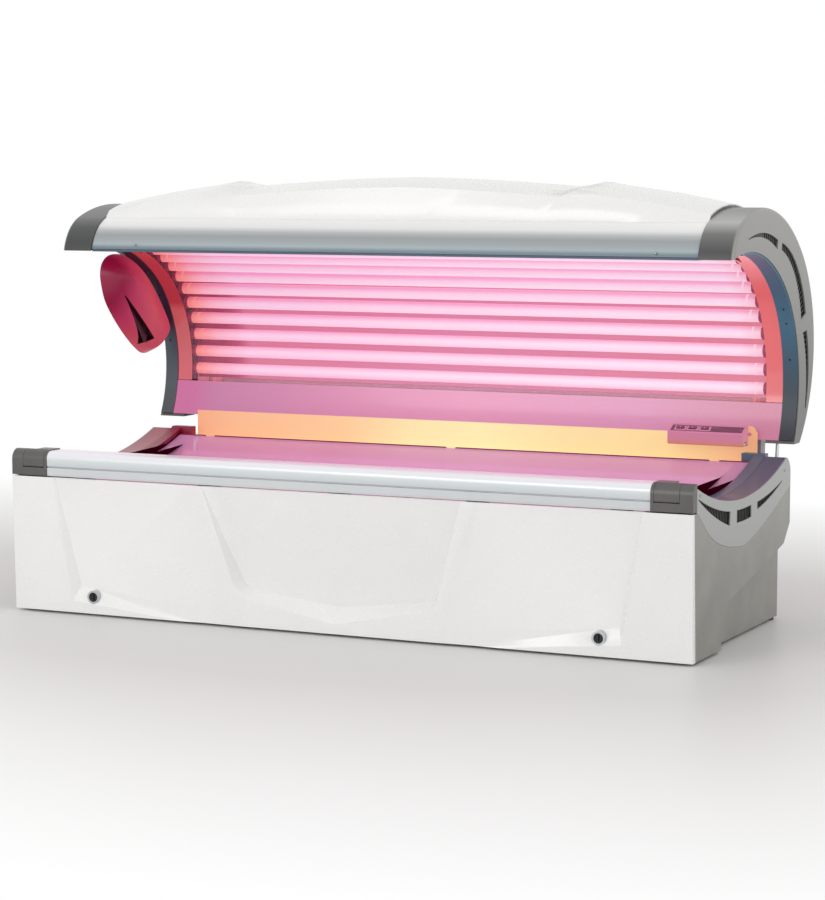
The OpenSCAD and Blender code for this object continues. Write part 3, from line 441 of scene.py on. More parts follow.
# Injection-moulded ABS with a high gloss: bright white, with a soft wide sheen
WHITE_ABS = Finish(
    "moulded_gloss_white_abs", "white_panel", "#f0f0f0", "#eeeeee", 0.26, 0.03,
    coat=0.25, grain_mm=6, grain_depth_mm=0.02,
)
# The same ABS in the shade under the rail
STRIP_ABS = replace(
    WHITE_ABS, name="shaded_gloss_white_abs", colour="#d2d6d7", shade="#ced2d4", roughness=0.3, coat=0.2
)
# Aluminium profile in silver lacquer: satin, with painted light and reflection by height: near white on top
# and blue-grey where it turns to the floor
CANOPY_SILVER = Graded(
    "silver_lacquered_aluminium_canopy", "silver_rail", roughness=0.34, spread=0.04, metallic=0.2, coat=0.15,
    along=Along.HEIGHT, span_mm=(1135.0, 1233.0),
    stops={
        0.0: "#687884", 0.07: "#78888f", 0.17: "#a4b0b6", 0.3: "#a0a6aa", 0.46: "#9a9fa3", 0.6: "#b4b6b8",
        0.75: "#e4e4e4", 1.0: "#f6f6f6",
    },
)
# The same lacquer on the base's rail, with the same kind of painted light and shade by height and a painted
# pink tint from the lamps
BASE_SILVER = replace(
    CANOPY_SILVER, name="silver_lacquered_aluminium_base", metallic=0.15, span_mm=(461.0, 512.0),
    stops={0.0: "#c2c8cc", 0.5: "#d6dcde", 0.85: "#ecebf2", 1.0: "#f4f1f8"},
)
# Moulded side panels in warm grey metallic lacquer: matt to satin, with flakes
WARM_LACQUER = Flaked(
    "warm_grey_metallic_lacquer", "grey_panel", "#96958f", "#8b8a85",
    metallic=0.35, coat=0.15, flake_colour="#dedcd6",
)
# The same lacquer on the corner caps and latches, darkened with painted shade, as they turn away from the
# light
SHADED_LACQUER = Flaked(
    "shaded_grey_metallic_lacquer", "grey_panel", "#5c5b59", "#535250", 0.42,
    metallic=0.2, coat=0.1, flake_colour="#a8a6a2",
)
# The same lacquer on the canopy's cheeks, with painted light and shade: pale on the flat side and darker low
# down, with a painted dark band and a painted highlight round the nose
CHEEK_FOOT = Cheek(
    "pale_grey_metallic_lacquer_foot", "grey_panel", roughness=0.42, metallic=0.15, coat=0.1,
    flat={0.0: "#6a6a68", 0.3: "#7a7a78", 0.7: "#92928f", 1.0: "#9c9b99"},
    nose={
        0.0: "#626262", 0.7: "#5c5c5c", 0.83: "#464646", 0.9: "#707070", 0.945: "#b0b0b0", 0.97: "#989898",
        1.0: "#686664",
    },
)
# The cheek at the head end, where the nose lies in shade
CHEEK_HEAD = replace(
    CHEEK_FOOT, name="pale_grey_metallic_lacquer_head",
    nose={
        0.0: "#505050", 0.7: "#4c4c4c", 0.83: "#3c3d3e", 0.9: "#4c4d4e", 0.945: "#6a6b6c", 0.97: "#646566",
        1.0: "#505152",
    },
)
# The right bench cheek: light grey lacquer outside, slate on its inner slope
PALE_LACQUER = Graded(
    "light_grey_metallic_lacquer", "grey_panel", metallic=0.2, coat=0.15,
    span_mm=(1060.0, 1130.0), stops={0.0: "#4a5e70", 0.93: "#4c6072", 0.965: "#a2a4a2", 1.0: "#a6a8a6"},
)
# The left bench cheek: grey outside, and crimson inside and on top, in the red light of the lamps
RED_LACQUER = Graded(
    "lamp_lit_metallic_lacquer", "grey_panel", roughness=0.3, spread=0.04, coat=0.3,
    span_mm=(-1130.0, -1060.0), stops={0.0: "#96958f", 0.02: "#96958f", 0.05: "#8c0c38", 1.0: "#980a3c"},
)
# Slate ABS with a fine spark-eroded grain: dark blue-grey, soft highlights
SLATE_ABS = Finish(
    "spark_grained_slate_abs", "slate_trim", "#4c6175", "#43566a", 0.42, 0.06,
    grain_mm=1.2, grain_depth_mm=0.05,
)
# The same slate on the canopy's rims, with painted light and shade by height: blue at the foot end, navy to
# grey at the head end
RIM_RIGHT = Graded(
    "spark_grained_slate_rim_foot", "slate_trim", roughness=0.42, spread=0.06,
    grain_mm=1.2, grain_depth_mm=0.05, along=Along.HEIGHT, span_mm=(553.0, 1148.0),
    stops={0.0: "#2a2f34", 0.25: "#34444f", 0.6: "#4a7c92", 1.0: "#40728c"},
)
RIM_LEFT = replace(
    RIM_RIGHT, name="spark_grained_slate_rim_head",
    stops={0.0: "#474c50", 0.4: "#44525c", 0.6: "#2c4254", 0.8: "#12324c", 1.0: "#0c2840"},
)
# The bench trims: slate at the foot end, crimson in the red light at the head end
TRIM_ABS = replace(
    RIM_RIGHT, name="spark_grained_trim_abs", roughness=0.36, coat=0.1,
    along=Along.LENGTH, span_mm=(-1060.0, 1060.0),
    stops={0.0: "#8a0a38", 0.08: "#980c3e", 0.5: "#a02048", 0.92: "#4c6175", 1.0: "#4c6175"},
)
# Cast acrylic in a gloss red, with a painted glow and painted lamp light in its tones by height, as if lit
# from its edge by the lamps
RED_RIGHT = Graded(
    "cast_red_acrylic_foot", "red_gloss", roughness=0.16, spread=0.03, coat=0.3,
    grain_mm=20, grain_depth_mm=0.02, glow=0.6, kept=0.4, along=Along.HEIGHT, span_mm=(668.0, 1150.0),
    stops={0.0: "#e87478", 0.45: "#ec7676", 0.8: "#ea6c6c", 1.0: "#ee7c70"},
)
# The same acrylic at the head end, with a weaker painted glow and painted shade above the middle
RED_LEFT = replace(
    RED_RIGHT, name="cast_red_acrylic_head", glow=0.55,
    stops={0.0: "#d8606c", 0.5: "#d86468", 0.56: "#bc3c48", 0.85: "#c03c46", 1.0: "#cc4c4c"},
)
# The same acrylic on the air nozzle's pod, with painted red lamp light and a painted glow: deep crimson, paler
# where it nears the lamps
LAMP_LIT_POD_ACRYLIC = replace(
    RED_RIGHT, name="lamp_lit_pod_acrylic", roughness=0.36, coat=0.08, kept=0.35,
    along=Along.DEPTH, span_mm=(-72.0, 349.0),
    stops={0.0: "#980c44", 0.16: "#8c0836", 0.3: "#b43058", 0.55: "#c84c5c", 0.8: "#c2405c", 1.0: "#b83058"},
)
# Phosphor-coated lamp glass, lit: a pale pink that warms towards the electrodes, with painted shade on its
# flanks
LAMP_GLASS = LitGlass(
    "lit_phosphor_coated_glass", "lamp_glass", roughness=0.3, spread=0.02,
    grain_mm=8, grain_depth_mm=0.01, glow=0.88, kept=0.25,
    stops={
        0.0: "#f08078", 0.022: "#f89a94", 0.05: "#f8b8c8", 0.11: "#f8d4ea", 0.45: "#fde2f2", 0.75: "#fee8f6",
        0.96: "#fbe6f4", 1.0: "#f8c8d4",
    },
)
# Bright rolled aluminium behind the lamps, with their pink light painted in as colour and glow, and painted
# shade, dark crimson, at the head end
LAMP_REFLECTOR = Graded(
    "lamp_lit_rolled_aluminium", "reflector", roughness=0.45,
    grain_mm=4, grain_depth_mm=0.02, glow=0.6, kept=0.25,
    stops={
        0.0: "#8a1040", 0.05: "#a01848", 0.075: "#c04068", 0.1: "#e8829c", 0.5: "#ee92b2", 0.8: "#ee90a8",
        1.0: "#f08c98",
    },
)
# White polycarbonate lamp sockets, deep in the red light of the lamp ends
LAMP_SOCKET = Finish("red_lit_polycarbonate", "lamp_socket", "#a01848", "#8c123c", glow=0.15)
# Powder-coated steel of the canopy's frame, with painted lamp light and shade: salmon below the lamps, crimson
# behind their ends, dark above
FRAME_STEEL = Graded(
    "lamp_lit_powder_coated_steel", "steel", roughness=0.5,
    grain_mm=1.6, grain_depth_mm=0.05, glow=0.5, kept=0.3, along=Along.HEIGHT, span_mm=(556.0, 1266.0),
    stops={0.0: "#e8828c", 0.18: "#ec868e", 0.21: "#a01848", 0.86: "#981444", 0.9: "#3a2c30", 1.0: "#2c2c2e"},
)
# Lacquered lower panel of the canopy, lit mauve by the lamps
MAUVE_PANEL = Graded(
    "lamp_lit_mauve_panel", "mauve_panel", roughness=0.26, spread=0.03, coat=0.2, glow=0.55, kept=0.35,
    stops={0.0: "#d46ea4", 0.06: "#d084b0", 0.3: "#e490b8", 0.5: "#ec98be", 0.8: "#e092ba", 1.0: "#d4809f"},
)
# Control box of the same lacquer, lit from the strip below it
CONTROL_BODY = Graded(
    "lamp_lit_control_abs", "mauve_panel", roughness=0.24, spread=0.03, coat=0.3, glow=0.45, kept=0.35,
    along=Along.HEIGHT, span_mm=(535.0, 600.0),
    stops={0.0: "#e48c78", 0.3: "#e28ca8", 0.7: "#e28ab0", 1.0: "#e08aae"},
)
# Dark tinted film over the control panel's recess: glossy, with the room in it
CONTROL_FILM = Finish(
    "tinted_control_film", "mauve_panel", "#5e0c34", "#4c0828", 0.12, 0.02, coat=0.6, grain_depth_mm=0.005
)
# Painted strip lit from below by the lamps, brightest a little right of the middle
ORANGE_STRIP = Graded(
    "lamp_lit_orange_strip", "orange_strip", roughness=0.34, spread=0.04, coat=0.05, glow=0.68, kept=0.35,
    stops={
        0.0: "#f4a880", 0.1: "#fcbe92", 0.3: "#fed09c", 0.42: "#fdeab0", 0.54: "#fdf0b4", 0.68: "#fde4a6",
        0.85: "#fddc9c", 1.0: "#f0ac80",
    },
)
# Cast acrylic lying sheet: it takes the mauve of the lamps below and above it
LYING_SHEET = Finish(
    "cast_clear_acrylic_bench", "clear_sheet", "#eeb8e4", "#e8b0dc", 0.15, 0.02,
    coat=0.3, ior=1.49, mottle_mm=500, grain_mm=60, grain_depth_mm=0.02, opacity=0.66,
)
# Thinner acrylic in front of the canopy's lamps, almost unseen
CANOPY_SHEET = replace(
    LYING_SHEET, name="cast_clear_acrylic_canopy", colour="#f4c0dc", shade="#f0b8d6",
    roughness=0.1, coat=0.2, opacity=0.1,
)
# Glossy crimson wells at the two ends of the bench, with a faint painted glow
WELL_ACRYLIC = Finish(
    "crimson_well_acrylic", "red_gloss", "#960c40", "#800634", 0.16, 0.03, coat=0.4, glow=0.1
)
# The hinge of the lying sheet: zinc in the deep red light under the bridge
RED_ZINC = Finish("red_lit_zinc_sheet", "zinc", "#8a1038", "#7a0c30", 0.4, 0.06, grain_mm=6, glow=0.06)
# Black polycarbonate and polyamide with a fine matt grain
BLACK_PLASTIC = Finish(
    "fine_grained_black_polyamide", "black_plastic", "#17181a", "#101113", 0.5, 0.08,
    grain_mm=0.8, grain_depth_mm=0.04,
)
# Vane in the air nozzle, and the slot's walls and floor: dark crimson, painted shade with a little red lamp
# light, deep in the slot
SHADED_SLOT_PLASTIC = Finish("shaded_red_lit_polycarbonate", "black_plastic", "#38041a", "#2a0312", 0.35)
# Powder-coated structural steel: light grey, with the fine orange peel of a sprayed powder
POWDER_STEEL = Finish(
    "powder_coated_steel", "steel", "#b4b8bc", "#a8acb0", 0.45, 0.06, grain_mm=1.6, grain_depth_mm=0.06
)
# Needled polyester felt of the dust filters, dark crimson in the light of the lamp ends
FILTER_FELT = Finish(
    "needled_polyester_felt", "black_plastic", "#5c0c2c", "#480820", 0.9, grain_mm=1.5, grain_depth_mm=0.2
)
# Hot-dip zinc sheet: cool grey with a broad spangle
ZINC_SHEET = Finish(
    "spangled_zinc_sheet", "zinc", "#b4b8bb", "#9ea3a8", 0.38, 0.1, metallic=0.9, mottle_mm=14, grain_mm=9
)
# Turned stainless steel, for screws: bright, with fine rings
SCREW_STEEL = Finish("turned_stainless_steel", "steel", "#a8acb0", "#94989c", 0.28, metallic=1.0, grain_mm=0.6)
# Hard chrome on the gas struts' rods and the lock collars: a mirror with faint grinding lines
HARD_CHROME = Finish(
    "hard_chrome", "chrome", "#d4d7da", "#c6cace", 0.12, 0.03,
    metallic=1.0, grain_mm=2, grain_depth_mm=0.003, stretch=(8, 8, 1),
)
# Black nitrile rubber of the feet: matt
BLACK_RUBBER = Finish(
    "moulded_black_rubber", "rubber", "#1c1c1c", "#141414", 0.75, 0.08, grain_mm=1.0, grain_depth_mm=0.05
)
# Lit white marks on the control panel
MARK_LIGHT = Finish("lit_control_mark", "mauve_panel", "#e8a8c4", "#dc98b8", 0.3, 0.02, glow=0.4)


def shade(skin: BMesh, crease: float = 35.0) -> None:
    """Marks every face smooth, and keeps the sharp edges sharp.

    Args:
        skin: The bmesh.
        crease: The angle, in degrees, from which an edge stays sharp.
    """
    for face in skin.faces:
        face.smooth = True
    for edge in skin.edges:
        edge.smooth = edge.calc_face_angle(0.0) < math.radians(crease)


def weld(mesh: Mesh, crease: float) -> BMesh:
    """Copies a CAD mesh of loose triangles into one skin with smooth and sharp edges marked.

    Args:
        mesh: The CAD node's mesh, which stays as it is.
        crease: The angle, in degrees, from which an edge stays sharp.

    Returns:
        The copy.
    """
    skin = bmesh.new()
    skin.from_mesh(mesh)
    bmesh.ops.remove_doubles(skin, verts=skin.verts, dist=WELD_M)
    bmesh.ops.dissolve_degenerate(skin, edges=skin.edges, dist=WELD_M)
    bmesh.ops.dissolve_limit(skin, angle_limit=math.radians(FACET_DEG), verts=skin.verts, edges=skin.edges)
    shade(skin, crease)
    return skin


def place(name: str, skin: BMesh, body: str, *finishes: Finish) -> Object:
    """Turns a bmesh into a piece that rides a CAD body.

    Args:
        name: The piece's name.
        skin: Its bmesh, which is freed.
        body: The CAD body that it moves with.
        *finishes: Its finishes, in the order of the faces' material numbers.

    Returns:
        The piece.
    """
    mesh = bpy.data.meshes.new(name)
    skin.to_mesh(mesh)
    skin.free()
    piece = bpy.data.objects.new(name, mesh)
    bpy.context.scene.collection.objects.link(piece)
    for finish in finishes:
        mesh.materials.append(finish.material())
    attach(piece, body)
    LOG.info("%s rides %s", name, body)
    return piece


def settle(name: str, skin: BMesh, body: str, finish: Finish) -> None:
    """Turns a modelled piece's faces outwards, shades it and places it.

    Args:
        name: The piece's name.
        skin: Its bmesh, which is freed.
        body: The CAD body that it moves with.
        finish: Its finish.
    """
    bmesh.ops.recalc_face_normals(skin, faces=skin.faces)
    shade(skin)
    place(name, skin, body, finish)


def dress(finish: Finish, *nodes: str) -> None:
    """Gives CAD nodes that stay visible their finish.

    Args:
        finish: The finish.
        *nodes: The nodes' names.
    """
    for node in nodes:
        for slot in frame["nodes"][node].material_slots:
            slot.material = finish.material()
        LOG.info("%s wears %s", node, finish.name)


def polish(
    node: str,
    edge_mm: float,
    *finishes: Finish,
    crease: float = 30.0,
    segments: int | None = None,
    shape: Callable[[BMesh], None] | None = None,
) -> None:
    """Replaces a CAD node by a copy with smooth shading and rounded edges.

    Args:
        node: The CAD node.
        edge_mm: Width of the rounding, or 0 for none.
        *finishes: Its finishes, in the order of the faces' material numbers.
        crease: The angle, in degrees, from which an edge is rounded.
        segments: Facets round an edge, where they aren't 2 to 4 by its width.
        shape: A step that works on the welded copy first.
    """
    source = frame["nodes"][node]
    skin = weld(source.data, crease)
    if shape:
        shape(skin)
    piece = place(f"{node}_skin", skin, body_of(source)[0], *finishes)
    if edge_mm:
        rounding = piece.modifiers.new("rounded_edges", "BEVEL")
        rounding.width = edge_mm * MM
        rounding.segments = segments or max(2, min(4, int(edge_mm) + 1))
        rounding.limit_method = "ANGLE"
        rounding.angle_limit = math.radians(crease)
        rounding.harden_normals = True
        rounding.use_clamp_overlap = True
    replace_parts(piece, node)


def by_side(skin: BMesh) -> None:
    """Gives the faces of the head end, on the left, the second finish."""
    for face in skin.faces:
        face.material_index = int(face.calc_center_median().x < 0)


def turned(skin: BMesh, start: Vector, end: Vector, radii_mm: Point, sides: int) -> list[BMVert]:
    """Adds a round bar or cone between two points.

    Args:
        skin: The bmesh that gets it.
        start: One end's middle.
        end: The other end's middle.
        radii_mm: Radius at the start and at the end.
        sides: Facets round it.

    Returns:
        The new vertices.
    """
    run = end - start
    first, last = (radius * MM for radius in radii_mm)
    matrix = Matrix.Translation((start + end) / 2) @ run.to_track_quat("Z", "Y").to_matrix().to_4x4()
    made = bmesh.ops.create_cone(
        skin, cap_ends=True, segments=sides, radius1=first, radius2=last, depth=run.length, matrix=matrix
    )
    return made["verts"]


def polar(centre: Point, radius: float, angle: float) -> Point:
    """Returns the depth and height of a point at an angle, in degrees, round a centre."""
    way = math.radians(angle)
    return (centre[0] + radius * math.cos(way), centre[1] + radius * math.sin(way))


@dataclass
class ScrewHead:
    """A low button-head screw with a hexagon socket.

    Attributes:
        radius_mm: Radius of the head.
        height_mm: How far it stands off the surface.
        socket_mm: Radius of the hexagon socket.
        sunk_mm: How far its foot reaches into the surface.
        crown: Radius of its top, as a share of the head's.
        bore: Depth of the socket, as a share of the height.
        sides: Facets round it.
    """

    radius_mm: float = 5.0
    height_mm: float = 2.2
    socket_mm: float = 2.2
    sunk_mm: float = 0.6
    crown: float = 0.72
    bore: float = 0.7
    sides: int = 24

    def drive(self, skin: BMesh, seat: Vector, out: Vector) -> None:
        """Adds one screw to a bmesh.

        Args:
            skin: The bmesh.
            seat: The middle of the head's foot.
            out: The way that the head faces.
        """
        axis = out.normalized()
        foot, tip = seat - axis * self.sunk_mm * MM, seat + axis * self.height_mm * MM
        verts = turned(skin, foot, tip, (self.radius_mm, self.radius_mm * self.crown), self.sides)
        faces = (face for face in skin.faces if all(v in verts for v in face.verts))
        top = max(faces, key=lambda face: face.calc_center_median().dot(axis))
        rim = (self.radius_mm * self.crown - self.socket_mm) * MM
        bmesh.ops.inset_individual(skin, faces=[top], thickness=rim, depth=0.0)
        bmesh.ops.translate(skin, verts=list(top.verts), vec=-axis * self.height_mm * self.bore * MM)

    def fit(self, name: str, body: str, seats: Iterable[Seat]) -> None:
        """Builds a piece of alike screws.

        Args:
            name: The piece's name.
            body: The CAD body that the screws move with.
            seats: Where each screw sits, with the way that it faces.
        """
        skin = bmesh.new()
        for seat, out in seats:
            self.drive(skin, seat, out)
        settle(name, skin, body, SCREW_STEEL)


def side_seats(side_mm: float, spots: Iterable[Point]) -> list[Seat]:
    """Returns seats at the same depths and heights on both end faces, that far from the middle."""
    return [(at(side * side_mm, y, z), Vector((side, 0, 0))) for side in (-1, 1) for y, z in spots]


@dataclass
class LampBank:
    """A row of lamps with the pressed caps on their ends.

    Attributes:
        name: The row's name.
        body: The CAD body that carries it.
        half_mm: Half the length over the caps.
        centres: Depth and height of each lamp's axis, then of the point that it faces.
        cap_mm: Length of a cap.
        cap_radii_mm: Radius of a cap where it grips the glass, and at its closed end.
        dome_mm: Rounding of the closed end.
        dome_rings: Facets along that rounding.
        sides: Facets round a cap.
        falloff: How fast the glass turns from its bright line to its flank.
    """

    name: str
    body: str
    half_mm: float
    centres: list[tuple[Point, Point]]
    cap_mm: float = 16.0
    cap_radii_mm: Point = (19.35, 18.6)
    dome_mm: float = 9.0
    dome_rings: int = 5
    sides: int = 28
    falloff: float = 1.25

    def mark(self, skin: BMesh) -> None:
        """Stores how far each point of the glass turns away from what it faces, from 0 to 1, for the painted
        shade on its flanks.

        Args:
            skin: The lamps' welded copy.
        """
        layer = skin.verts.layers.float.new(FLANK)
        axes = [(at(0, *axis).yz, at(0, *goal).yz) for axis, goal in self.centres]
        for vert in skin.verts:
            axis, goal = min(axes, key=lambda pair: (vert.co.yz - pair[0]).length_squared)
            facing = (vert.co.yz - axis).normalized().dot((goal - axis).normalized())
            vert[layer] = min(1.0, max(0.0, self.falloff - self.falloff * facing))

    def cap(self, skin: BMesh, inner: Vector, outer: Vector) -> None:
        """Adds one cap with a domed end.

        Args:
            skin: The bmesh.
            inner: Where it grips the glass.
            outer: Its closed end.
        """
        verts = turned(skin, inner, outer, self.cap_radii_mm, self.sides)
        end = {vert for vert in verts if abs(vert.co.x - outer.x) < MM}
        rim = [e for e in skin.edges if end.issuperset(e.verts) and e.calc_face_angle(0.0) > RIM_ANGLE]
        bmesh.ops.bevel(
            skin, geom=rim, offset=self.dome_mm * MM, offset_type="OFFSET", segments=self.dome_rings,
            profile=0.5, affect="EDGES", material=-1, clamp_overlap=True,
        )

    def build(self) -> None:
        """Dresses the lamps and adds their caps."""
        polish(f"{self.name}s", 0.0, LAMP_GLASS, shape=self.mark)
        skin = bmesh.new()
        for (y, z), _ in self.centres:
            for side in (-1, 1):
                self.cap(skin, at(side * (self.half_mm - self.cap_mm), y, z), at(side * self.half_mm, y, z))
        settle(f"{self.name}_caps", skin, self.body, LAMP_GLASS)


@dataclass
class BaseShell:
    """The moulded base: front panel, rails, caps, side panels and feet.

    Attributes:
        side_screws_mm: Depth and height of the screws on each bench cheek.
        side_mm: Distance of a cheek's outer face from the middle.
    """

    side_screws_mm: tuple[Point, ...] = ((60.0, 479.0), (836.0, 471.0))
    side_mm: float = 1130.0

    def build(self) -> None:
        """Dresses the base's nodes and adds its screws."""
        polish("front_panel", 3.0, WHITE_ABS)
        polish("rail_strip", 1.2, STRIP_ABS)
        polish("front_rail", 2.0, BASE_SILVER)
        for side in ("left", "right"):
            polish(f"base_cap_{side}", 2.2, SHADED_LACQUER)
            polish(f"latch_{side}", 1.0, SHADED_LACQUER)
            polish(f"side_panel_{side}", 3.0, WARM_LACQUER)
            dress(BLACK_PLASTIC, f"lock_{side}", f"strut_cylinder_{side}")
            dress(HARD_CHROME, f"strut_rod_{side}")
        polish("bench_cheek_left", 2.5, RED_LACQUER)
        polish("bench_cheek_right", 2.5, PALE_LACQUER)
        polish("bench_trims", 1.5, TRIM_ABS)
        polish("bench_end_strips", 1.0, WELL_ACRYLIC)
        dress(HARD_CHROME, "lock_bezels")
        dress(BLACK_PLASTIC, "cheek_grilles", "mains_gland", "base_fan", "base_fan_rotor")
        dress(WARM_LACQUER, "rear_panel")
        dress(POWDER_STEEL, "base_frame", "front_brackets", "bench_cradles")
        dress(ZINC_SHEET, "floor_tray", "ballasts")
        dress(RED_ZINC, "bench_sheet_hinge")
        dress(BLACK_RUBBER, "levelling_feet")
        ScrewHead().fit("bench_cheek_screws", "base", side_seats(self.side_mm, self.side_screws_mm))


@dataclass
class Bench:
    """The dished lying surface: clear sheet, lamps, sockets and reflector.

    Attributes:
        dish_mm: Depth and height of the dish's centre of curvature.
        dish_radius_mm: Radius of the dish.
        lamp_drop_mm: Depth of the lamps' axes below the dish.
        lamps: Number of lamps.
        pitch_mm: Spacing of the lamps.
        half_mm: Half the length of the lamps.
    """

    dish_mm: Point = (436.0, 1582.0)
    dish_radius_mm: float = 1153.0
    lamp_drop_mm: float = 45.0
    lamps: int = 14
    pitch_mm: float = 50.0
    half_mm: float = 936.0

    def centres(self) -> list[tuple[Point, Point]]:
        """Places the lamps along the dish.

        Returns:
            Depth and height of each axis, then of the dish's centre that it faces.
        """
        radius = self.dish_radius_mm + self.lamp_drop_mm
        step = math.degrees(self.pitch_mm / radius)
        angles = [270 + (i - (self.lamps - 1) / 2) * step for i in range(self.lamps)]
        return [(polar(self.dish_mm, radius, angle), self.dish_mm) for angle in angles]

    def build(self) -> None:
        """Dresses the bench and adds the lamps' caps."""
        polish("bench_sheet_clear", 0.8, LYING_SHEET, crease=40.0)
        dress(LAMP_SOCKET, "bench_lamp_holders")
        dress(LAMP_REFLECTOR, "bench_reflector")
        LampBank("bench_lamp", "base", self.half_mm, self.centres()).build()


@dataclass
class Canopy:
    """The swinging canopy: shells, rail, cheeks, rims and its lamps.

    Attributes:
        mouth_mm: Depth and height of the lower mouth arc's centre.
        mouth_radius_mm: Its radius.
        mouth_top_radius_mm: Radius of the upper mouth arc.
        turn: The angle at which the two arcs meet.
        first: The angle of the lowest lamp.
        lamp_drop_mm: Distance of the lamps' axes outside the mouth.
        lamps: Number of lamps.
        pitch_mm: Spacing of the lamps.
        half_mm: Half the length of the lamps.
        crown_mm: Depth and height of points just under the end of the shell.
        seal_mm: Distance of a seal from the middle, and its height.
        filter_x_mm: Distance of a dust filter from the middle.
        filter_radii_mm: Its inner and outer radius round the mouth.
        filter_arc: The angle at which it starts, and how far it goes round.
        sheet_mm: Thickness of the seals and filters.
        side_screws_mm: Depth and height of the screws on each cheek.
        side_mm: Distance of the screws' seats from the middle, a little under a cheek's outer face.
        rail_screws_mm: Positions of the screws in the front rail.
    """

    mouth_mm: Point = (561.9, 722.7)
    mouth_radius_mm: float = 392.0
    mouth_top_radius_mm: float = 571.0
    turn: float = 55.4
    first: float = -2.0
    lamp_drop_mm: float = 25.0
    lamps: int = 14
    pitch_mm: float = 60.0
    half_mm: float = 1004.0
    crown_mm: tuple[Point, ...] = (
        (423, 1253), (479, 1269), (528, 1278), (587, 1283), (646, 1282), (705, 1275), (762, 1262), (818, 1242),
        (881, 1210), (931, 1177), (979, 1137),
    )
    seal_mm: Point = (1024.0, 24.0)
    filter_x_mm: float = 1044.0
    filter_radii_mm: Point = (400.0, 462.0)
    filter_arc: Point = (-14.0, 108.0)
    sheet_mm: float = 2.0
    side_screws_mm: tuple[Point, ...] = ((384.0, 1206.0), (398.0, 1145.0), (962.0, 613.0))
    side_mm: float = 1134.2
    rail_screws_mm: tuple[Spot, ...] = ((-863.0, 313.5, 1149.8), (896.5, 313.5, 1146.5))

    def centres(self) -> list[tuple[Point, Point]]:
        """Places the lamps along the two arcs of the mouth.

        Returns:
            Depth and height of each axis, then of its arc's centre.
        """
        low = self.mouth_radius_mm + self.lamp_drop_mm
        high = self.mouth_top_radius_mm + self.lamp_drop_mm
        top = polar(self.mouth_mm, self.mouth_radius_mm - self.mouth_top_radius_mm, self.turn)
        found = []
        for i in range(self.lamps):
            angle = self.first + i * math.degrees(self.pitch_mm / low)
            if angle <= self.turn:
                found.append((polar(self.mouth_mm, low, angle), self.mouth_mm))
            else:
                found.append((polar(top, high, self.turn + (angle - self.turn) * low / high), top))
        return found

    def end_seals(self) -> None:
        """Closes the step between each end of the crowned shell and the cheek below it."""
        skin = bmesh.new()
        away, height = self.seal_mm
        for side in (-1, 1):
            crown = [skin.verts.new(at(side * away, y, z)) for y, z in self.crown_mm]
            edges = [skin.edges.new(pair) for pair in zip(crown, crown[1:])]
            made = bmesh.ops.extrude_edge_only(skin, edges=edges)["geom"]
            lower = [item for item in made if isinstance(item, BMVert)]
            bmesh.ops.translate(skin, verts=lower, vec=(0, 0, -height * MM))
        bmesh.ops.recalc_face_normals(skin, faces=skin.faces)
        bmesh.ops.solidify(skin, geom=skin.faces[:], thickness=self.sheet_mm * MM)
        settle("canopy_end_seals", skin, "canopy", CHEEK_FOOT)

    def filters(self) -> None:
        """Adds the dark dust filter behind the vents of each cheek, bent round the mouth."""
        skin = bmesh.new()
        depth, height = self.mouth_mm
        cent = at(0, depth, height)
        start, sweep = (math.radians(angle) for angle in self.filter_arc)
        for side in (-1, 1):
            x = side * self.filter_x_mm
            ends = [skin.verts.new(at(x, depth + radius, height)) for radius in self.filter_radii_mm]
            edge = skin.edges.new(ends)
            bmesh.ops.rotate(skin, verts=ends, cent=cent, matrix=Matrix.Rotation(start, 3, "X"))
            bmesh.ops.spin(
                skin, geom=[*ends, edge], cent=cent, axis=(1, 0, 0), angle=sweep, steps=36, use_merge=False
            )
        bmesh.ops.solidify(skin, geom=skin.faces[:], thickness=self.sheet_mm * MM)
        settle("canopy_dust_filters", skin, "canopy", FILTER_FELT)

    def build(self) -> None:
        """Dresses the canopy and adds its lamp caps, filters, seals and screws."""
        polish("canopy_shell", 0.0, WHITE_ABS, crease=40.0)
        polish("canopy_rear_shell", 1.0, WHITE_ABS)
        polish("canopy_rail", 1.2, CANOPY_SILVER)
        polish("canopy_rail_seal", 1.5, SLATE_ABS)
        polish("canopy_cheek_left", 1.5, CHEEK_HEAD)
        polish("canopy_cheek_right", 1.5, CHEEK_FOOT)
        polish("canopy_rims", 3.0, RIM_RIGHT, RIM_LEFT, segments=3, shape=by_side)
        polish("canopy_end_strips", 0.6, RED_RIGHT, RED_LEFT, shape=by_side)
        polish("canopy_sheet_clear", 0.0, CANOPY_SHEET)
        polish("canopy_trim", 0.8, MAUVE_PANEL)
        dress(BLACK_PLASTIC, "canopy_grilles")
        dress(FRAME_STEEL, "canopy_frame", "canopy_lugs")
        dress(LAMP_SOCKET, "canopy_lamp_holders")
        dress(LAMP_REFLECTOR, "canopy_reflector")
        LampBank("canopy_lamp", "canopy", self.half_mm, self.centres()).build()
        cheek_seats = side_seats(self.side_mm, self.side_screws_mm)
        ScrewHead(height_mm=0.8).fit("canopy_cheek_screws", "canopy", cheek_seats)
        self.filters()
        self.end_seals()
        rail_seats = [(at(*spot), Vector((0, -1, 0))) for spot in self.rail_screws_mm]
        ScrewHead(4.0, 1.6, 1.8).fit("canopy_rail_screws", "canopy", rail_seats)


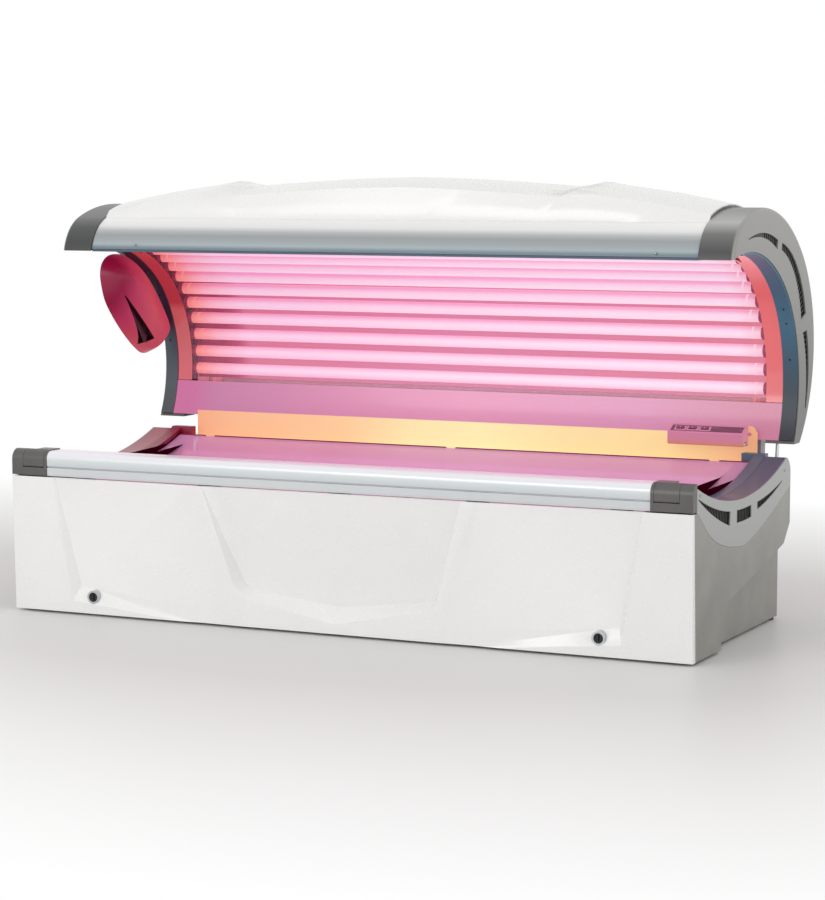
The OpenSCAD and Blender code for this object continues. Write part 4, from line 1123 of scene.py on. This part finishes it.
@dataclass
class Hinge:
    """The rear of the bed: bridge strip and hinge arms.

    Attributes:
        ear_screw_mm: Where the screw in the bridge's right ear sits.
        rear: How far a face has to turn to the rear to get the second finish.
    """

    ear_screw_mm: Spot = (1002.0, 845.0, 546.0)
    rear: float = 0.3

    def back(self, skin: BMesh) -> None:
        """Gives the faces that look to the rear the second finish, because no lamp lights them."""
        for face in skin.faces:
            face.material_index = int(face.normal.y > self.rear)

    def build(self) -> None:
        """Dresses the bridge and the arms, and adds the ear's screw."""
        polish("rear_bridge", 2.5, ORANGE_STRIP, WARM_LACQUER, shape=self.back)
        dress(POWDER_STEEL, "hinge_arms")
        seat = (at(*self.ear_screw_mm), Vector((0, -1, 0)))
        ScrewHead(6.0, 2.0, 2.6).fit("bridge_ear_screw", "base", [seat])


@dataclass
class ControlBox:
    """The control box on the bridge, with its dark recessed top and the marks on it.

    Attributes:
        slope: The way that the sloping top faces.
        level: How near to that way a face has to look to count as the top.
        recess_mm: How deep the film lies below the box's rim.
        rim_mm: Width of the rim round it.
        key_mm: How far a key's face lies from its middle.
        mark_mm: How deep a mark sits in its key, and how far it stands out.
        mark_radius_mm: Radius of a mark.
    """

    slope: Spot = (0.0, -0.4138, 0.9104)
    level: float = 0.995
    recess_mm: float = 2.0
    rim_mm: float = 6.0
    key_mm: float = 2.8
    mark_mm: Point = (0.3, 0.35)
    mark_radius_mm: float = 1.7

    def sink_top(self, skin: BMesh) -> None:
        """Insets the sloping top and gives the floor of the recess the second finish.

        Args:
            skin: The box's welded copy.
        """
        way = Vector(self.slope)
        tops = [face for face in skin.faces if face.normal.dot(way) > self.level]
        bmesh.ops.inset_region(
            skin, faces=tops, thickness=self.rim_mm * MM, depth=-self.recess_mm * MM,
            use_boundary=True, use_even_offset=True,
        )
        for face in tops:
            if face.normal.dot(way) > self.level:
                face.material_index = 1

    def mark(self, key: str) -> None:
        """Adds the lit mark on a key.

        Args:
            key: The key's node and body.
        """
        way = Vector(self.slope).normalized()
        low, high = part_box(key)
        top = (Vector(low) + Vector(high)) / 2 + way * self.key_mm * MM
        sunk, raised = self.mark_mm
        skin = bmesh.new()
        turned(skin, top - way * sunk * MM, top + way * raised * MM, (self.mark_radius_mm,) * 2, 20)
        settle(f"{key}_mark", skin, key, MARK_LIGHT)

    def build(self) -> None:
        """Dresses the box and its keys, and adds the marks."""
        polish("control_box", 4.0, CONTROL_BODY, CONTROL_FILM, shape=self.sink_top)
        for key in ("key_start", "key_speed", "key_stop"):
            polish(key, 0.8, CONTROL_FILM)
            self.mark(key)


@dataclass
class NozzlePod:
    """The air nozzle in the head end of the canopy: a leaf-shaped dome with a ridge and a tapered slot.

    Attributes:
        outline_mm: Depth and height of points on its outline.
        spine_mm: The two ends of its ridge.
        slot_mm: The slot's three corners: its tip and its foot.
        foot_x_mm: Where the outline meets the canopy's end.
        rise_mm: How far the ridge stands off it.
        steps: Points on the outline's curve for each point given.
        rings: Rings of faces between the outline and the ridge.
        smoothings: Rounds of smoothing over them.
        slot_x_mm: Where the slot's floor lies.
        reach_mm: Radius round the slot within which the dome's faces may be cut.
        crease: The angle, in degrees, from which its edges stay sharp.
    """

    outline_mm: tuple[Point, ...] = (
        (612, 1109), (562, 1104), (528, 1084), (514, 1054), (517, 1019), (539, 960), (582, 907), (651, 843),
        (728, 788), (780, 768), (836, 778), (898, 820), (922, 862), (871, 939), (807, 1018), (740, 1072),
        (674, 1100),
    )
    spine_mm: tuple[Point, Point] = ((580, 1035), (782, 840))
    slot_mm: tuple[Point, ...] = ((562, 984), (748, 822), (716, 803))
    foot_x_mm: float = -1121.0
    rise_mm: float = 85.0
    steps: int = 6
    rings: int = 14
    smoothings: int = 10
    slot_x_mm: float = -1098.0
    reach_mm: float = 150.0
    crease: float = 50.0

    def rounded(self) -> list[Vector]:
        """Draws a smooth closed curve through the outline's points.

        Returns:
            Points along the curve, as depth and height.
        """
        points = [Vector(point) for point in self.outline_mm]
        found = []
        for i in range(len(points)):
            a, b, c, d = (points[(i + k - 1) % len(points)] for k in range(4))
            bend, twist = 2 * a - 5 * b + 4 * c - d, 3 * b - a - 3 * c + d
            for t in (step / self.steps for step in range(self.steps)):
                found.append(b + ((c - a) * t + bend * t**2 + twist * t**3) / 2)
        return found

    def goals(self, curve: list[Vector]) -> list[Vector]:
        """Finds the point of the ridge that each point of the outline rises to.

        Args:
            curve: Points of the outline.

        Returns:
            Their goals on the ridge.
        """
        start, end = (Vector(point) for point in self.spine_mm)
        run = end - start
        shares = ((point - start).dot(run) / run.length_squared for point in curve)
        return [start + run * (0.5 + 0.5 * math.tanh(2.2 * (share - 0.5))) for share in shares]

    def dome(self, skin: BMesh) -> None:
        """Raises the dome, ring by ring, from the outline to the ridge, and smooths it.

        Args:
            skin: The bmesh.
        """
        curve = self.rounded()
        goals = self.goals(curve)
        verts = [skin.verts.new(at(self.foot_x_mm, *point)) for point in curve]
        edges = [skin.edges.new((verts[i - 1], verts[i])) for i in range(len(verts))]
        for ring in range(1, self.rings + 1):
            left = 1 - ring / self.rings
            height = self.rise_mm * (0.9 * math.sqrt(1 - left**2) + 0.1 * (ring / self.rings))
            made = bmesh.ops.extrude_edge_only(skin, edges=edges)["geom"]
            edges = [item for item in made if isinstance(item, BMEdge)]
            fresh = {item for item in made if isinstance(item, BMVert)}
            verts = [next(e.other_vert(v) for e in v.link_edges if e.other_vert(v) in fresh) for v in verts]
            for vert, point, goal in zip(verts, curve, goals):
                vert.co = at(self.foot_x_mm + height, *(point + (goal - point) * (1 - left**1.3)))
        bmesh.ops.remove_doubles(skin, verts=skin.verts, dist=0.1 * MM)
        inside = [vert for vert in skin.verts if not vert.is_boundary]
        for _ in range(self.smoothings):
            bmesh.ops.smooth_vert(
                skin, verts=inside, factor=0.5, use_axis_x=True, use_axis_y=True, use_axis_z=True
            )
        bmesh.ops.recalc_face_normals(skin, faces=skin.faces)
        if sum(face.normal.x * face.calc_area() for face in skin.faces) < 0:
            bmesh.ops.reverse_faces(skin, faces=skin.faces)

    def cut_slot(self, skin: BMesh) -> None:
        """Cuts the slot through the dome and gives it walls and a floor, dark with painted shade.

        Args:
            skin: The bmesh with the dome.
        """
        corners = [at(0, *point) for point in self.slot_mm]
        middle = sum(corners, Vector()) / 3
        sides = []
        for i, corner in enumerate(corners):
            along = corners[(i + 1) % 3] - corner
            out = along.cross(Vector((1, 0, 0))).normalized()
            out = out if (middle - corner).dot(out) < 0 else -out
            sides.append((corner, out))
            reach = self.reach_mm * MM
            near = [f for f in skin.faces if (f.calc_center_median().yz - middle.yz).length < reach]
            parts = {item for f in near for item in (*f.verts, *f.edges, f)}
            bmesh.ops.bisect_plane(skin, geom=list(parts), dist=1e-6, plane_co=corner, plane_no=out)
        inner = [f for f in skin.faces if all((f.calc_center_median() - c).dot(out) < 0 for c, out in sides)]
        border = {e for f in inner for e in f.edges if any(other not in inner for other in e.link_faces)}
        bmesh.ops.delete(skin, geom=inner, context="FACES")
        made = bmesh.ops.extrude_edge_only(skin, edges=[e for e in border if e.is_valid])["geom"]
        for vert in (item for item in made if isinstance(item, BMVert)):
            vert.co.x = self.slot_x_mm * MM
        floor = bmesh.ops.holes_fill(skin, edges=[item for item in made if isinstance(item, BMEdge)], sides=0)
        # The walls and floor take the second finish: dark, painted shade deep in the slot
        for face in [*floor["faces"], *(item for item in made if isinstance(item, BMFace))]:
            face.material_index = 1

    def build(self) -> None:
        """Builds the pod and dresses its vane."""
        skin = bmesh.new()
        self.dome(skin)
        self.cut_slot(skin)
        shade(skin, self.crease)
        body = body_of(frame["nodes"]["nozzle_pod"])[0]
        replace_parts(place("nozzle_pod_dome", skin, body, LAMP_LIT_POD_ACRYLIC, SHADED_SLOT_PLASTIC), "nozzle_pod")
        dress(SHADED_SLOT_PLASTIC, "nozzle_vane")


@dataclass
class Studio:
    """Floor, light and camera.

    Attributes:
        eye: Camera position, in metres.
        turn_deg: Camera rotation about X, Y and Z.
        lens_mm: Focal length on the sensor.
        sensor_mm: Width of the sensor.
        sky: Strength of the light from all round.
        floor_m: Half the width of the floor.
        floor_squeeze: Scale of the floor's distances along X, Y and Z, as the bed is longer than deep.
        fade_m: Distances from the middle between which the floor fades to white.
    """

    eye: Spot = (3.547, -7.4344, 1.379)
    turn_deg: Spot = (83.97, 0.0, 25.51)
    lens_mm: float = 105.12
    sensor_mm: float = 36.0
    sky: float = 0.76
    floor_m: float = 20.0
    floor_squeeze: Spot = (0.62, 1.0, 1.0)
    fade_m: Point = (1.2, 3.2)

    def link(self, name: str, data: bpy.types.ID) -> Object:
        """Adds data to the scene as an object.

        Args:
            name: The object's name.
            data: Its data.

        Returns:
            The object.
        """
        made = bpy.data.objects.new(name, data)
        bpy.context.scene.collection.objects.link(made)
        return made

    def camera(self) -> None:
        """Sets the camera at the photograph's viewing angle."""
        data = bpy.data.cameras.new("studio_camera")
        data.lens = self.lens_mm
        data.sensor_width = self.sensor_mm
        data.sensor_fit = "AUTO"
        data.clip_end = 100.0
        rig = self.link("studio_camera", data)
        rig.location = self.eye
        rig.rotation_euler = [math.radians(angle) for angle in self.turn_deg]
        bpy.context.scene.camera = rig

    def lamp(self, name: str, eye: Spot, aim: Spot, size: Point, watts: float) -> None:
        """Adds one soft box.

        Args:
            name: Its name.
            eye: Where it stands.
            aim: What it points at.
            size: Width and height, in metres.
            watts: Its power.
        """
        data = bpy.data.lights.new(name, "AREA")
        data.shape = "RECTANGLE"
        data.size, data.size_y = size
        data.energy = watts
        box = self.link(name, data)
        box.location = eye
        box.rotation_euler = (Vector(aim) - Vector(eye)).to_track_quat("-Z", "Y").to_euler()

    def direct(self, tree: NodeTree) -> NodeSocket:
        """Tells what is seen from what lights the scene.

        Args:
            tree: The node tree.

        Returns:
            1 for what the camera sees itself, in gloss or through glass, and 0 for lighting.
        """
        path = add(tree, "ShaderNodeLightPath").outputs
        seen = path["Is Camera Ray"]
        for ray in ("Is Glossy Ray", "Is Transmission Ray"):
            seen = add(tree, "ShaderNodeMath", links={0: seen, 1: path[ray]}, operation="MAXIMUM").outputs[0]
        return seen

    def world(self) -> None:
        """Lights the scene evenly, and shows white to the camera, to gloss and through glass."""
        world = bpy.data.worlds.new("studio_world")
        world.use_nodes = True
        bpy.context.scene.world = world
        tree = world.node_tree
        tree.nodes.clear()
        seen = self.direct(tree)
        light = add(tree, "ShaderNodeBackground", {"Color": linear("#fffefc"), "Strength": self.sky})
        white = add(tree, "ShaderNodeBackground", {"Color": linear("#ffffff"), "Strength": 1.0})
        mixed = add(tree, "ShaderNodeMixShader", links={0: seen, 1: light.outputs[0], 2: white.outputs[0]})
        add(tree, "ShaderNodeOutputWorld", links={"Surface": mixed.outputs[0]})

    def floor(self) -> None:
        """Lays a pale floor that keeps a soft shadow and a faint reflection near the bed."""
        skin = bmesh.new()
        bmesh.ops.create_grid(skin, x_segments=1, y_segments=1, size=self.floor_m)
        mesh = bpy.data.meshes.new("studio_floor")
        skin.to_mesh(mesh)
        skin.free()
        piece = self.link("studio_floor", mesh)
        material = bpy.data.materials.new("studio_floor_paint")
        material.use_nodes = True
        tree = material.node_tree
        shader = tree.nodes["Principled BSDF"]
        shader.inputs["Base Color"].default_value = linear("#dedddc")
        shader.inputs["Roughness"].default_value = 0.4
        shader.inputs["Specular IOR Level"].default_value = 0.12
        spot = add(tree, "ShaderNodeTexCoord").outputs["Object"]
        squeezed = add(tree, "ShaderNodeMapping", {"Scale": self.floor_squeeze}, {"Vector": spot})
        away = add(tree, "ShaderNodeVectorMath", links={0: squeezed.outputs["Vector"]}, operation="LENGTH")
        fade = remap(tree, away.outputs["Value"], self.fade_m)
        share = add(tree, "ShaderNodeMath", links={0: self.direct(tree), 1: fade}, operation="MULTIPLY")
        white = add(tree, "ShaderNodeEmission", {"Color": linear("#ffffff"), "Strength": 1.0})
        layers = {0: share.outputs[0], 1: shader.outputs[0], 2: white.outputs[0]}
        mixed = add(tree, "ShaderNodeMixShader", links=layers)
        tree.links.new(mixed.outputs[0], tree.nodes["Material Output"].inputs["Surface"])
        mesh.materials.append(material)

    def build(self) -> None:
        """Builds the whole studio."""
        self.camera()
        self.world()
        self.floor()
        self.lamp("key_box", (-1.5, -5.2, 2.3), (0, 0, 0.6), (3.2, 2.2), 72.0)
        self.lamp("top_box", (0.3, 0.2, 4.2), (0, 0, 0.8), (3.4, 2.4), 2.0)
        self.lamp("side_box", (4.6, -1.6, 2.2), (0.6, 0, 0.6), (1.6, 1.6), 22.0)
        bpy.context.scene.view_settings.view_transform = "Standard"


def main() -> None:
    """Builds the studio and every sub-assembly."""
    logging.basicConfig(level=logging.INFO, format="%(name)s: %(message)s")
    Studio().build()
    for part in (BaseShell(), Bench(), Canopy(), Hinge(), ControlBox(), NozzlePod()):
        LOG.info("building %s", type(part).__name__)
        part.build()


if __name__ == "__main__":
    main()
